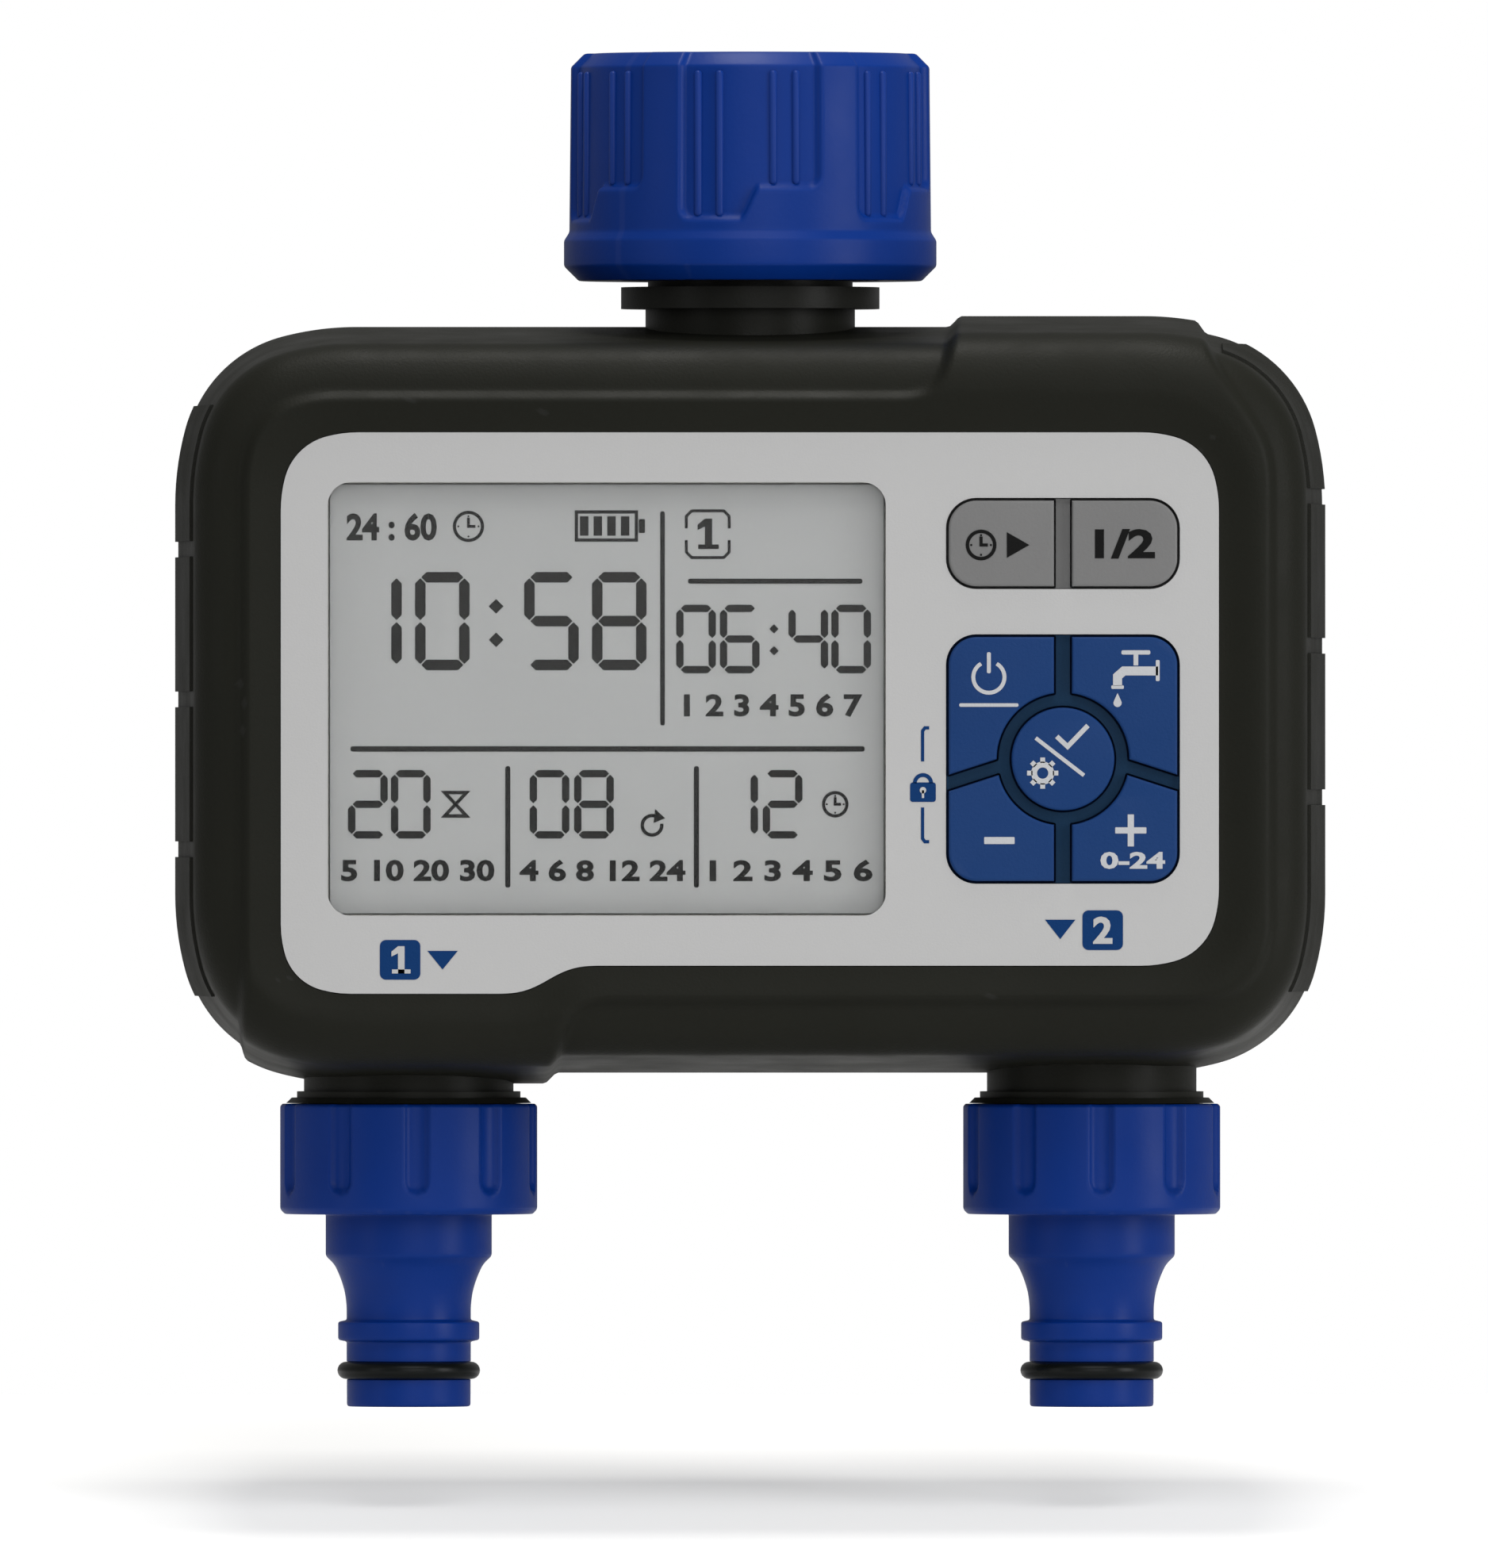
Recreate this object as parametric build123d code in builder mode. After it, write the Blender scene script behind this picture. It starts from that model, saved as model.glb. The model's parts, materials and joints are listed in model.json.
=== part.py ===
"""Two-outlet drip irrigation timer.

Millimetres, +Z up, the display faces -Y. The origin is the centre of the inlet's
sealing face, so the tap thread stands above it and the timer hangs below it.
"""
from build123d import *
from math import cos, radians, sin, sqrt
import os

os.makedirs("parts", exist_ok=True)

# ---- housing -------------------------------------------------------------------
body_width = 147.4          # across the parting line, without the grips
body_height = 96.1
body_top = -16.2
front_depth = 31.6          # parting plane to the front face
rear_depth = 36.0
draft_angle = 5.0
wall = 2.4
corner_span = 23.0          # how far each soft corner runs along a side
front_round = 6.0
rear_round = 8.0
frame_proud = 1.4           # the raised frame around the face panel
frame_left, frame_right = -65.0, 66.8
frame_top, frame_bottom = -25.2, -103.0
body_bottom = body_top - body_height

# ---- face ----------------------------------------------------------------------
panel_left, panel_right = -60.2, 60.1
panel_top, panel_bottom = -30.0, -98.4
panel_lobe = -102.0         # lower edge of the panel's left half
panel_thick = 0.9
panel_sink = 1.1            # panel face below the frame's crest
panel_clearance = 0.1
window_left, window_right = -54.1, 17.3
window_top, window_bottom = -36.5, -91.9
window_corner = 2.9
window_thick = 1.0
window_sink = 0.7
window_ledge = 1.5
pad_left, pad_right = 25.1, 55.1
grey_top, grey_bottom = -38.4, -50.1
blue_top, blue_bottom = -55.9, -87.9
pad_corner = 3.9
channel_width = 2.3         # between two keys
centre_key_radius = 6.6
centre_ring_radius = 8.5
side_channel_tilt = 18.0
key_proud = 0.4
key_travel = 0.8
key_gap = 0.25              # round each key, in its mat
key_flange = 0.6
key_flange_thick = 0.8
mat_rim = 1.0

# ---- waterway ------------------------------------------------------------------
neck_radius = 13.5
neck_clearance = 0.1
inlet_neck_radius = 13.2
inlet_thread_radius = 15.15
inlet_thread_depth = 17.0
inlet_washer_thick = 3.0
outlet_spacing = 88.0
outlet_bore = 9.0
chamber_radius = 17.0
chamber_bore = 13.2
chamber_top = -86.0
chamber_floor = -101.0
seat_radius = 7.0
seat_bore = 5.0
seat_drop = 2.0
diaphragm_thick = 1.5
plunger_radius = 3.4
running_gap = 0.1
gallery_height = -95.0
gallery_radius = 6.5
gallery_bore = 4.5
pipe_radius = 10.0
pipe_bore = 8.0

# ---- collar --------------------------------------------------------------------
collar_radius = 23.1
collar_skirt_radius = 24.0
collar_top = 19.0
collar_bottom = -10.3
grip_count = 6
grip_depth = 0.9
grip_span = 46.0
rib_radius = 0.55

# ---- outlet adaptors -----------------------------------------------------------
nut_radius = 16.56
nut_top, nut_bottom = -116.3, -130.5
nut_grooves = 10
groove_end = -127.9
stub_end = -127.0
adaptor_washer_thick = 1.9
collar_step_radius = 10.7
spigot_radius = 8.0
spigot_bore = 5.0
spigot_end = -155.3
o_ring_height = -150.65
o_ring_section = 1.12

# ---- electronics and power -----------------------------------------------------
board_front = -22.0
board_thick = 1.6
switch_tall = 3.2
cell_radius = 7.1
cell_pitch = 14.5
cell_count = 4
cell_body = 49.2
cell_nub = 1.0
contact_spring_tall = 2.6
contact_plate_thick = 0.4
box_wall = 1.6
door_width, door_top, door_height = 66.0, -34.8, 58.6
door_thick = 2.0
door_gap = 0.3
hinge_height = -97.2
hinge_pin_radius = 1.2
knuckle_radius = 2.3
latch_travel = 3.0

screw_places = [(-61.0, -30.0), (61.0, -30.0), (-64.6, -97.0), (64.6, -97.0),
                (-28.0, -25.5), (28.0, -25.5)]
board_screw_places = [(x, z) for x in (-58.0, 58.8) for z in (-46.0, -84.0)]
sides = {"left": -outlet_spacing / 2, "right": outlet_spacing / 2}


# ---- drawing helpers -----------------------------------------------------------
def facing(y, x=0.0, z=0.0):
    """A plane that faces the user at depth y: its own x and y run along X and Z."""
    return Plane(origin=(x, y, z), x_dir=(1, 0, 0), z_dir=(0, -1, 0))


def soft_outline(corners, tail_share=1 / 6, middle_share=0.453):
    """A closed outline whose corners (x, z, span) each turn on three tangent arcs."""
    count = len(corners)
    ends = []
    with BuildSketch(Plane.XY, mode=Mode.PRIVATE) as outline:
        with BuildLine():
            for i, (x, z, span) in enumerate(corners):
                corner = Vector(x, z)
                before = (corner - Vector(*corners[i - 1][:2])).normalized()
                after = (Vector(*corners[(i + 1) % count][:2]) - corner).normalized()
                way = 1 if before.cross(after).Z > 0 else -1
                turn = before.get_angle(after)
                tail = turn * tail_share
                rise = 0.0
                for radius, start, stop in ((1, 0, tail), (middle_share, tail, turn - tail),
                                            (1, turn - tail, turn)):
                    rise += radius * (cos(radians(start)) - cos(radians(stop)))
                tail_radius = span * sin(radians(turn)) / rise
                begin = corner - before * span
                first = JernArc(begin, before, tail_radius, way * tail)
                second = JernArc(first @ 1, first % 1, tail_radius * middle_share,
                                 way * (turn - 2 * tail))
                third = JernArc(second @ 1, second % 1, tail_radius, way * tail)
                ends.append((begin, third @ 1))
            for i in range(count):
                Line(ends[i - 1][1], ends[i][0])
        make_face()
    return outline.sketch


def grown(outline, amount):
    """The outline moved outwards, or inwards when the amount is negative."""
    return offset(outline, amount=amount, kind=Kind.ARC, mode=Mode.PRIVATE)


def slab(outline, y_front, y_back):
    """A flat piece of an outline, from depth y_front back to y_back."""
    with BuildPart() as piece:
        with BuildSketch(facing(y_front)):
            add(outline)
        extrude(amount=y_front - y_back)
    return piece.part


def turned(points, x=0.0, y=0.0):
    """A (radius, height) profile turned about the upright line at x, y."""
    with BuildPart() as piece:
        with BuildSketch(facing(y, x)):
            with BuildLine():
                Polyline(*points, close=True)
            make_face()
        revolve(axis=Axis((x, y, 0), (0, 0, 1)))
    return piece.part


def rod(radius, low, high, x=0.0, y=0.0):
    """An upright cylinder between two heights."""
    with BuildPart() as piece:
        with BuildSketch(Plane.XY.offset(low)):
            with Locations((x, y)):
                Circle(radius)
        extrude(amount=high - low)
    return piece.part


def peg(radius, y_front, y_back, x, z):
    """A cylinder along Y between two depths."""
    with BuildPart() as piece:
        with BuildSketch(facing(y_front, x, z)):
            Circle(radius)
        extrude(amount=y_front - y_back)
    return piece.part


def block(x0, x1, y0, y1, z0, z1):
    """A box between two corners."""
    with BuildPart() as piece:
        with BuildSketch(Plane.XY.offset(z0)):
            with Locations(((x0 + x1) / 2, (y0 + y1) / 2)):
                Rectangle(x1 - x0, y1 - y0)
        extrude(amount=z1 - z0)
    return piece.part


def rounded_rectangle(left, right, bottom, top, corner):
    """A rectangle with round corners, drawn from its four sides."""
    with BuildSketch(Plane.XY) as outline:
        with Locations(((left + right) / 2, (bottom + top) / 2)):
            RectangleRounded(right - left, top - bottom, corner)
    return outline.sketch


def coil(radius, wire, low, high, turns, x=0.0, y=0.0):
    """An upright helical spring whose wire stays between two heights."""
    rise = high - low - 2.2 * wire
    with BuildPart() as piece:
        with BuildLine() as path:
            Helix(pitch=rise / turns, height=rise, radius=radius,
                  center=(x, y, low + 1.1 * wire))
        with BuildSketch(Plane(origin=path.line @ 0, z_dir=path.line % 0)):
            Circle(wire)
        sweep(path=path.line, is_frenet=True)
    return piece.part


# ---- outlines ------------------------------------------------------------------
body_outline = soft_outline([
    (-body_width / 2, body_top, corner_span), (body_width / 2, body_top, corner_span),
    (body_width / 2, body_bottom, corner_span), (-body_width / 2, body_bottom, corner_span)])

past_body = 10.0
frame_outline = soft_outline([
    (frame_left, frame_top, 12.0), (24.4, frame_top, 5.0),
    (28.5, body_top + past_body, 1.0), (56.0, body_top + past_body, 1.0),
    (58.6, -20.5, 5.0), (frame_right, -31.5, 6.0),
    (frame_right, frame_bottom, 11.0), (-22.6, frame_bottom, 5.0),
    (-29.0, body_bottom - past_body, 1.0), (frame_left, body_bottom - past_body, 1.0)])

panel_outline = soft_outline([
    (panel_left, panel_top, 10.0), (panel_right, panel_top, 10.0),
    (panel_right, panel_bottom, 10.0), (-22.8, panel_bottom, 3.4),
    (-29.0, panel_lobe, 3.4), (panel_left, panel_lobe, 9.0)])

window_outline = rounded_rectangle(window_left, window_right, window_bottom, window_top,
                                   window_corner)
grey_outline = rounded_rectangle(pad_left, pad_right, grey_bottom, grey_top, pad_corner)
blue_outline = rounded_rectangle(pad_left, pad_right, blue_bottom, blue_top, pad_corner)
pad_mid = (pad_left + pad_right) / 2
blue_mid = (blue_bottom + blue_top) / 2


def housing_blank(depth, grow, rounding):
    """Half of the housing's outside, drafted, from the parting plane forwards."""
    with BuildPart() as half:
        with BuildSketch(facing(0)):
            add(grown(body_outline, grow) if grow else body_outline)
        extrude(amount=depth, taper=draft_angle)
        fillet(half.faces().sort_by(Axis.Y)[0].edges(), radius=rounding)
    return half.part


def rear_blank(depth, grow, rounding):
    """The rear half, which mirrors the front one in the parting plane."""
    return mirror(housing_blank(depth, grow, rounding), about=Plane.XZ)


front_out = housing_blank(front_depth, 0, front_round)
front_in = housing_blank(front_depth - wall, -wall, front_round - wall)
rear_out = rear_blank(rear_depth, 0, rear_round)
rear_in = rear_blank(rear_depth - wall, -wall, rear_round - wall)

panel_face = -(front_depth + frame_proud) + panel_sink
panel_back = panel_face + panel_thick
window_front = panel_face + window_sink
shell_inner = -(front_depth - wall)
mat_front = panel_face + window_sink
rim_back = shell_inner + 1.0

# ---- side grips: soft strips let into both shells --------------------------------
grip_band = 3.0
grip_depth_in = 1.2
grip_stand = 0.4
grip_half = 24.0
grip_notch = 2.0
notch_floor = 0.1
grip_reach = 26.0
grip_spans = {"left": (-102.4, -26.4, (-44.9, -64.2, -83.5)),
              "right": (-101.8, -18.4, (-38.1, -57.3, -76.8))}


def grip_region(side, grow):
    """The space of one grip between the housing's surface and its let-in depth."""
    low, high, _ = grip_spans[side]
    way = -1 if side == "left" else 1
    with BuildSketch(Plane.XY) as strip:
        add(grown(body_outline, grip_band))
        add(grown(body_outline, -grip_band), mode=Mode.SUBTRACT)
        with Locations((way * body_width / 2, (low + high) / 2)):
            Rectangle(grip_reach, high - low, mode=Mode.INTERSECT)
    prism = slab(strip.sketch, -grip_half, grip_half)
    front = (housing_blank(front_depth, grow, front_round) - front_floor) & prism
    rear = (housing_blank(rear_depth, grow, rear_round) - rear_floor) & prism
    return front + mirror(rear, about=Plane.XZ)


front_floor = housing_blank(front_depth, -grip_depth_in, front_round)
rear_floor = housing_blank(rear_depth, -grip_depth_in, rear_round)
grip_pockets = {side: grip_region(side, past_body / 5) for side in grip_spans}
def side_grip(side):
    """A soft strip with three cross notches, cut almost down to the shell's surface."""
    _, _, notches = grip_spans[side]
    way = -1 if side == "left" else 1
    reach = sorted((way * body_width * 0.4, way * body_width * 0.6))
    with BuildPart() as strip:
        add(grip_region(side, grip_stand))
        for height in notches:
            add(block(*reach, -grip_half, grip_half, height - grip_notch / 2,
                      height + grip_notch / 2), mode=Mode.SUBTRACT)
        add(grip_region(side, -notch_floor))
    return strip.part


for side in grip_spans:
    with BuildPart() as side_grip_strip:
        add(side_grip(side))
    side_grip_strip.part.label = "side_grip_" + side
    export_step(side_grip_strip.part, "parts/side_grip_" + side + ".step")

# ---- keys and their mats ---------------------------------------------------------
key_edge = 0.35
with BuildSketch(Plane.XY) as grey_key_faces:
    add(grown(grey_outline, -key_edge))
    with Locations((pad_mid, (grey_top + grey_bottom) / 2)):
        Rectangle(channel_width, grey_top - grey_bottom, mode=Mode.SUBTRACT)
with BuildSketch(Plane.XY) as blue_key_faces:
    add(grown(blue_outline, -key_edge))
    with Locations((pad_mid, blue_mid)):
        Circle(centre_ring_radius, mode=Mode.SUBTRACT)
        Rectangle(channel_width, blue_top - blue_bottom, mode=Mode.SUBTRACT)
    for way in (-1, 1):
        with Locations(Location((pad_mid, blue_mid), -way * side_channel_tilt)):
            with Locations((way * (centre_ring_radius + 6.0), 1.6)):
                Rectangle(channel_width * 8, channel_width * 0.87, mode=Mode.SUBTRACT)

grey_keys = sorted(grey_key_faces.sketch.faces(), key=lambda face: face.center().X)
blue_keys = sorted(blue_key_faces.sketch.faces(),
                   key=lambda face: (face.center().Y < blue_mid, face.center().X))
key_names = ["key_outlet_one", "key_outlet_two", "key_back", "key_manual",
             "key_minus", "key_plus"]
key_faces = dict(zip(key_names, grey_keys + blue_keys))
with BuildSketch(Plane.XY) as centre_face:
    with Locations((pad_mid, blue_mid)):
        Circle(centre_key_radius)
key_faces["key_set"] = centre_face.sketch.faces()[0]
switch_places = {name: (face.center().X, face.center().Y) for name, face in key_faces.items()}

key_front = panel_face - key_proud
key_back = rim_back + 0.2
stem_end = board_front - switch_tall - key_travel - 0.1
for name, face in key_faces.items():
    with BuildPart() as key:
        with BuildSketch(facing(key_front)):
            add(face)
        extrude(amount=-(key_back - key_front))
        fillet(key.faces().sort_by(Axis.Y)[0].edges(), radius=0.35)
        with BuildSketch(facing(key_back)):
            add(grown(face, key_flange))
        extrude(amount=-key_flange_thick)
        with BuildSketch(facing(key_back + key_flange_thick)):
            with Locations(switch_places[name]):
                Circle(2.2)
        extrude(amount=-(stem_end - key_back - key_flange_thick))
    key.part.label = name
    export_step(key.part, "parts/" + name + ".step")

mats = {"grey_key_mat": (grey_outline, grey_keys),
        "blue_key_mat": (blue_outline, blue_keys + [key_faces["key_set"]])}
for name, (outline, faces) in mats.items():
    with BuildPart() as mat:
        with BuildSketch(facing(mat_front)):
            add(grown(outline, -panel_clearance))
        extrude(amount=-(shell_inner - mat_front))
        with BuildSketch(facing(shell_inner)):
            add(grown(outline, mat_rim))
        extrude(amount=-(rim_back - shell_inner))
        for face in faces:
            with BuildSketch(facing(mat_front)):
                add(grown(face, key_gap))
            extrude(amount=-(rim_back - mat_front), mode=Mode.SUBTRACT)
    mat.part.label = name
    export_step(mat.part, "parts/" + name + ".step")

# ---- front shell -----------------------------------------------------------------
shell_screw_radius = 1.25
boss_radius = 3.4
neck_hole = neck_radius + neck_clearance
gasket_outer, gasket_inner, gasket_deep = 1.4, 2.1, 0.9
board_screw_boss = 2.2
frame_blank = housing_blank(front_depth + frame_proud, frame_proud, front_round + frame_proud)
frame_prism = slab(frame_outline, -(front_depth + past_body), 0)
band_width = 5.5


def necks(radius):
    """The three upright pipes that pass the housing's edge, as plain cylinders."""
    return (rod(radius, body_top - 12, body_top + 12)
            + rod(radius, body_bottom - 12, body_bottom + 12, sides["left"])
            + rod(radius, body_bottom - 12, body_bottom + 12, sides["right"]))


def gasket_ring():
    """The seal along the parting plane, open where the pipes cross it."""
    with BuildPart() as ring:
        with BuildSketch(facing(-gasket_deep)):
            add(grown(body_outline, -gasket_outer))
            add(grown(body_outline, -gasket_inner), mode=Mode.SUBTRACT)
        extrude(amount=-gasket_deep)
        add(necks(neck_hole + 0.4), mode=Mode.SUBTRACT)
    return ring.part


gasket_solid = gasket_ring()
with BuildPart() as shell_gasket:
    add(gasket_solid)
shell_gasket.part.label = "shell_gasket"
export_step(shell_gasket.part, "parts/shell_gasket.step")

with BuildPart() as front_shell:
    add(front_out)
    add(frame_blank & frame_prism)
    add(front_in, mode=Mode.SUBTRACT)
    # dished band round the panel, then the panel's own recess
    with BuildSketch(facing(-(front_depth + frame_proud))):
        add(grown(panel_outline, band_width))
    with BuildSketch(facing(panel_face)):
        add(grown(panel_outline, 0.4))
    loft(mode=Mode.SUBTRACT)
    add(slab(grown(panel_outline, panel_clearance), panel_face - 2, panel_back),
        mode=Mode.SUBTRACT)
    # display opening with the ledge that carries the window
    add(slab(grown(window_outline, panel_clearance), panel_face - 2,
             window_front + window_thick), mode=Mode.SUBTRACT)
    add(slab(grown(window_outline, -window_ledge), panel_face - 2, shell_inner + 1),
        mode=Mode.SUBTRACT)
    for outline in (grey_outline, blue_outline):
        add(slab(outline, panel_face - 2, shell_inner + 1), mode=Mode.SUBTRACT)
    # bosses for the housing screws and the circuit board
    for x, z in screw_places:
        add(peg(boss_radius, shell_inner - 0.5, 0, x, z) & front_out)
        add(peg(shell_screw_radius, -16.0, 0, x, z), mode=Mode.SUBTRACT)
    for x, z in board_screw_places:
        add(peg(board_screw_boss, shell_inner - 0.5, board_front, x, z))
        add(peg(0.9, -28.0, board_front, x, z), mode=Mode.SUBTRACT)
    add(necks(neck_hole), mode=Mode.SUBTRACT)
    add(gasket_solid, mode=Mode.SUBTRACT)
    for pocket in grip_pockets.values():
        add(pocket, mode=Mode.SUBTRACT)
front_shell.part.label = "front_shell"
export_step(front_shell.part, "parts/front_shell.step")

with BuildPart() as face_panel:
    add(slab(panel_outline, panel_face, panel_back))
    add(slab(grown(window_outline, panel_clearance), panel_face, panel_back),
        mode=Mode.SUBTRACT)
    for outline in (grey_outline, blue_outline):
        add(slab(outline, panel_face, panel_back), mode=Mode.SUBTRACT)
face_panel.part.label = "face_panel"
export_step(face_panel.part, "parts/face_panel.step")

with BuildPart() as display_window:
    add(slab(window_outline, window_front, window_front + window_thick))
display_window.part.label = "display_window"
export_step(display_window.part, "parts/display_window.step")

# ---- display and circuit board -----------------------------------------------------
glass_front = shell_inner + 0.3
glass_thick = 2.8
glass_margin = 0.2
holder_wall = 1.1
with BuildPart() as lcd_glass:
    add(block(window_left + glass_margin, window_right - glass_margin, glass_front,
              glass_front + glass_thick, window_bottom + glass_margin,
              window_top - glass_margin))
lcd_glass.part.label = "lcd_glass"
export_step(lcd_glass.part, "parts/lcd_glass.step")

with BuildPart() as lcd_holder:
    add(block(window_left - holder_wall, window_right + holder_wall, glass_front, board_front,
              window_bottom - holder_wall, window_top + holder_wall))
    add(block(window_left, window_right, glass_front, glass_front + glass_thick, window_bottom,
              window_top), mode=Mode.SUBTRACT)
    add(block(window_left + 2, window_right - 2, glass_front, board_front, window_bottom + 2,
              window_top - 2), mode=Mode.SUBTRACT)
lcd_holder.part.label = "lcd_holder"
export_step(lcd_holder.part, "parts/lcd_holder.step")

board_back = board_front + board_thick
with BuildPart() as circuit_board:
    add(block(-60.8, 61.0, board_front, board_back, -94.3, -34.6))
    for x, z in board_screw_places:
        add(peg(1.1, board_front, board_back, x, z), mode=Mode.SUBTRACT)
circuit_board.part.label = "circuit_board"
export_step(circuit_board.part, "parts/circuit_board.step")

with BuildPart() as board_screws:
    for x, z in board_screw_places:
        add(peg(1.9, board_back, board_back + 1.5, x, z))
        add(peg(0.85, -27.0, board_back, x, z))
board_screws.part.label = "board_screws"
export_step(board_screws.part, "parts/board_screws.step")

with BuildPart() as tact_switches:
    for x, z in switch_places.values():
        add(block(x - 2.6, x + 2.6, board_front - switch_tall + 0.7, board_front, z - 2.6,
                  z + 2.6))
        add(peg(1.6, board_front - switch_tall, board_front - 1, x, z))
tact_switches.part.label = "tact_switches"
export_step(tact_switches.part, "parts/tact_switches.step")

lead_socket = (19.0, -43.0)
coil_socket_height = -45.0
coil_socket_x = 38.0
with BuildPart() as control_chips:
    add(block(-26.0, -14.0, board_back, board_back + 1.4, -72.0, -60.0))
    add(block(-30.0, -24.0, board_back, board_back + 1.2, -52.0, -46.0))
    add(block(15.0, 23.0, board_back, board_back + 1.2, -66.0, -60.0))
    add(peg(3.0, board_back, board_back + 6.0, -20.0, -86.0))
    add(peg(3.0, board_back, board_back + 6.0, 20.0, -80.0))
    x, z = lead_socket
    add(block(x - 3.5, x + 3.5, board_back, board_back + 3.0, z - 2.0, z + 2.0))
    for way in (-1, 1):
        x = way * coil_socket_x
        add(block(x - 3.0, x + 3.0, board_back, board_back + 3.0, coil_socket_height - 2.0,
                  coil_socket_height + 2.0))
control_chips.part.label = "control_chips"
export_step(control_chips.part, "parts/control_chips.step")

# ---- waterway: one moulded valve body ------------------------------------------------
flange_radius = 16.66
flange_top, flange_bottom = -11.1, -13.9
ring_groove_low, ring_groove_high = -7.0, -5.2
ring_groove_radius = 12.2
lip_top, lip_mid, lip_bottom = -114.7, -115.5, -116.2
stub_radius = nut_radius - 3.4
bonnet_screw_circle = 15.1
bonnet_angles = [45, 135, 225, 315]
seal_top = body_top - wall - 1.7
seal_bottom = body_bottom + wall + 1.7
seal_tall = 2.0
seal_radius = 15.5

with BuildPart() as valve_body:
    add(turned([
        (0, -inlet_washer_thick), (inlet_neck_radius, -inlet_washer_thick),
        (inlet_neck_radius, ring_groove_high), (ring_groove_radius, ring_groove_high),
        (ring_groove_radius, ring_groove_low), (inlet_neck_radius, ring_groove_low),
        (inlet_neck_radius, flange_top), (flange_radius, flange_top),
        (flange_radius, flange_bottom), (neck_radius, flange_bottom),
        (neck_radius, seal_top - seal_tall), (seal_radius + 1, seal_top - seal_tall),
        (seal_radius + 1, seal_top - seal_tall - 2.5), (pipe_radius, seal_top - seal_tall - 4),
        (pipe_radius, chamber_floor - 3), (0, chamber_floor - 3)]))
    for x in sides.values():
        add(rod(chamber_radius, chamber_floor - 3, chamber_top, x))
        add(turned([
            (0, chamber_floor - 2), (seal_radius + 1, chamber_floor - 2),
            (seal_radius + 1, seal_bottom + seal_tall), (neck_radius, seal_bottom + seal_tall),
            (neck_radius, lip_top), (neck_radius + 0.9, lip_top),
            (neck_radius + 0.9, lip_mid), (neck_radius + 1.6, lip_mid),
            (neck_radius + 2.3, lip_bottom), (stub_radius, lip_bottom),
            (stub_radius, stub_end), (0, stub_end)], x))
    with BuildSketch(Plane.YZ.offset(-outlet_spacing / 2)):
        with Locations((0, gallery_height)):
            Circle(gallery_radius)
    extrude(amount=outlet_spacing)
    # bores
    for x in sides.values():
        add(rod(chamber_bore, chamber_floor, chamber_top, x), mode=Mode.SUBTRACT)
        add(rod(seat_radius, chamber_floor, chamber_top - seat_drop, x))
    for way in (-1, 1):
        with BuildSketch(Plane.YZ):
            with Locations((0, gallery_height)):
                Circle(gallery_bore)
        extrude(amount=way * (outlet_spacing / 2 - chamber_bore + 1), mode=Mode.SUBTRACT)
    for x in sides.values():
        add(rod(seat_bore, stub_end, chamber_top - seat_drop, x), mode=Mode.SUBTRACT)
        add(rod(outlet_bore, stub_end, chamber_floor - 6, x), mode=Mode.SUBTRACT)
        for angle in bonnet_angles:
            add(rod(1.05, chamber_top - 9, chamber_top,
                    x + bonnet_screw_circle * cos(radians(angle)),
                    bonnet_screw_circle * sin(radians(angle))), mode=Mode.SUBTRACT)
    add(rod(pipe_bore, chamber_floor, -inlet_washer_thick), mode=Mode.SUBTRACT)
    add(turned([(0, -inlet_washer_thick), (9.6, -inlet_washer_thick), (9.6, -40.0),
                (pipe_bore, -42.0), (0, -42.0)]) & rod(9.6, -42.0, 0), mode=Mode.SUBTRACT)
valve_body.part.label = "valve_body"
export_step(valve_body.part, "parts/valve_body.step")

with BuildPart() as neck_seals:
    add(rod(seal_radius, seal_top - seal_tall, seal_top)
        - rod(neck_radius, seal_top - seal_tall, seal_top))
    for x in sides.values():
        add(rod(seal_radius, seal_bottom, seal_bottom + seal_tall, x)
            - rod(neck_radius, seal_bottom, seal_bottom + seal_tall, x))
neck_seals.part.label = "neck_seals"
export_step(neck_seals.part, "parts/neck_seals.step")

# ---- inlet: swivel collar, its snap ring, washer and filter ----------------------------
collar_floor = -7.05
washer_radius = 14.9
washer_bore = 10.2


def ring_sector(inner, outer, start, stop):
    """Part of a flat ring; angles are counted from the front towards the right."""
    with BuildSketch(Plane.XY) as sector:
        with BuildLine():
            arc = CenterArc((0, 0), outer, 270 + start, stop - start)
            bow = CenterArc((0, 0), inner, 270 + start, stop - start)
            Line(arc @ 0, bow @ 0)
            Line(arc @ 1, bow @ 1)
        make_face()
    return sector.sketch


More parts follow.
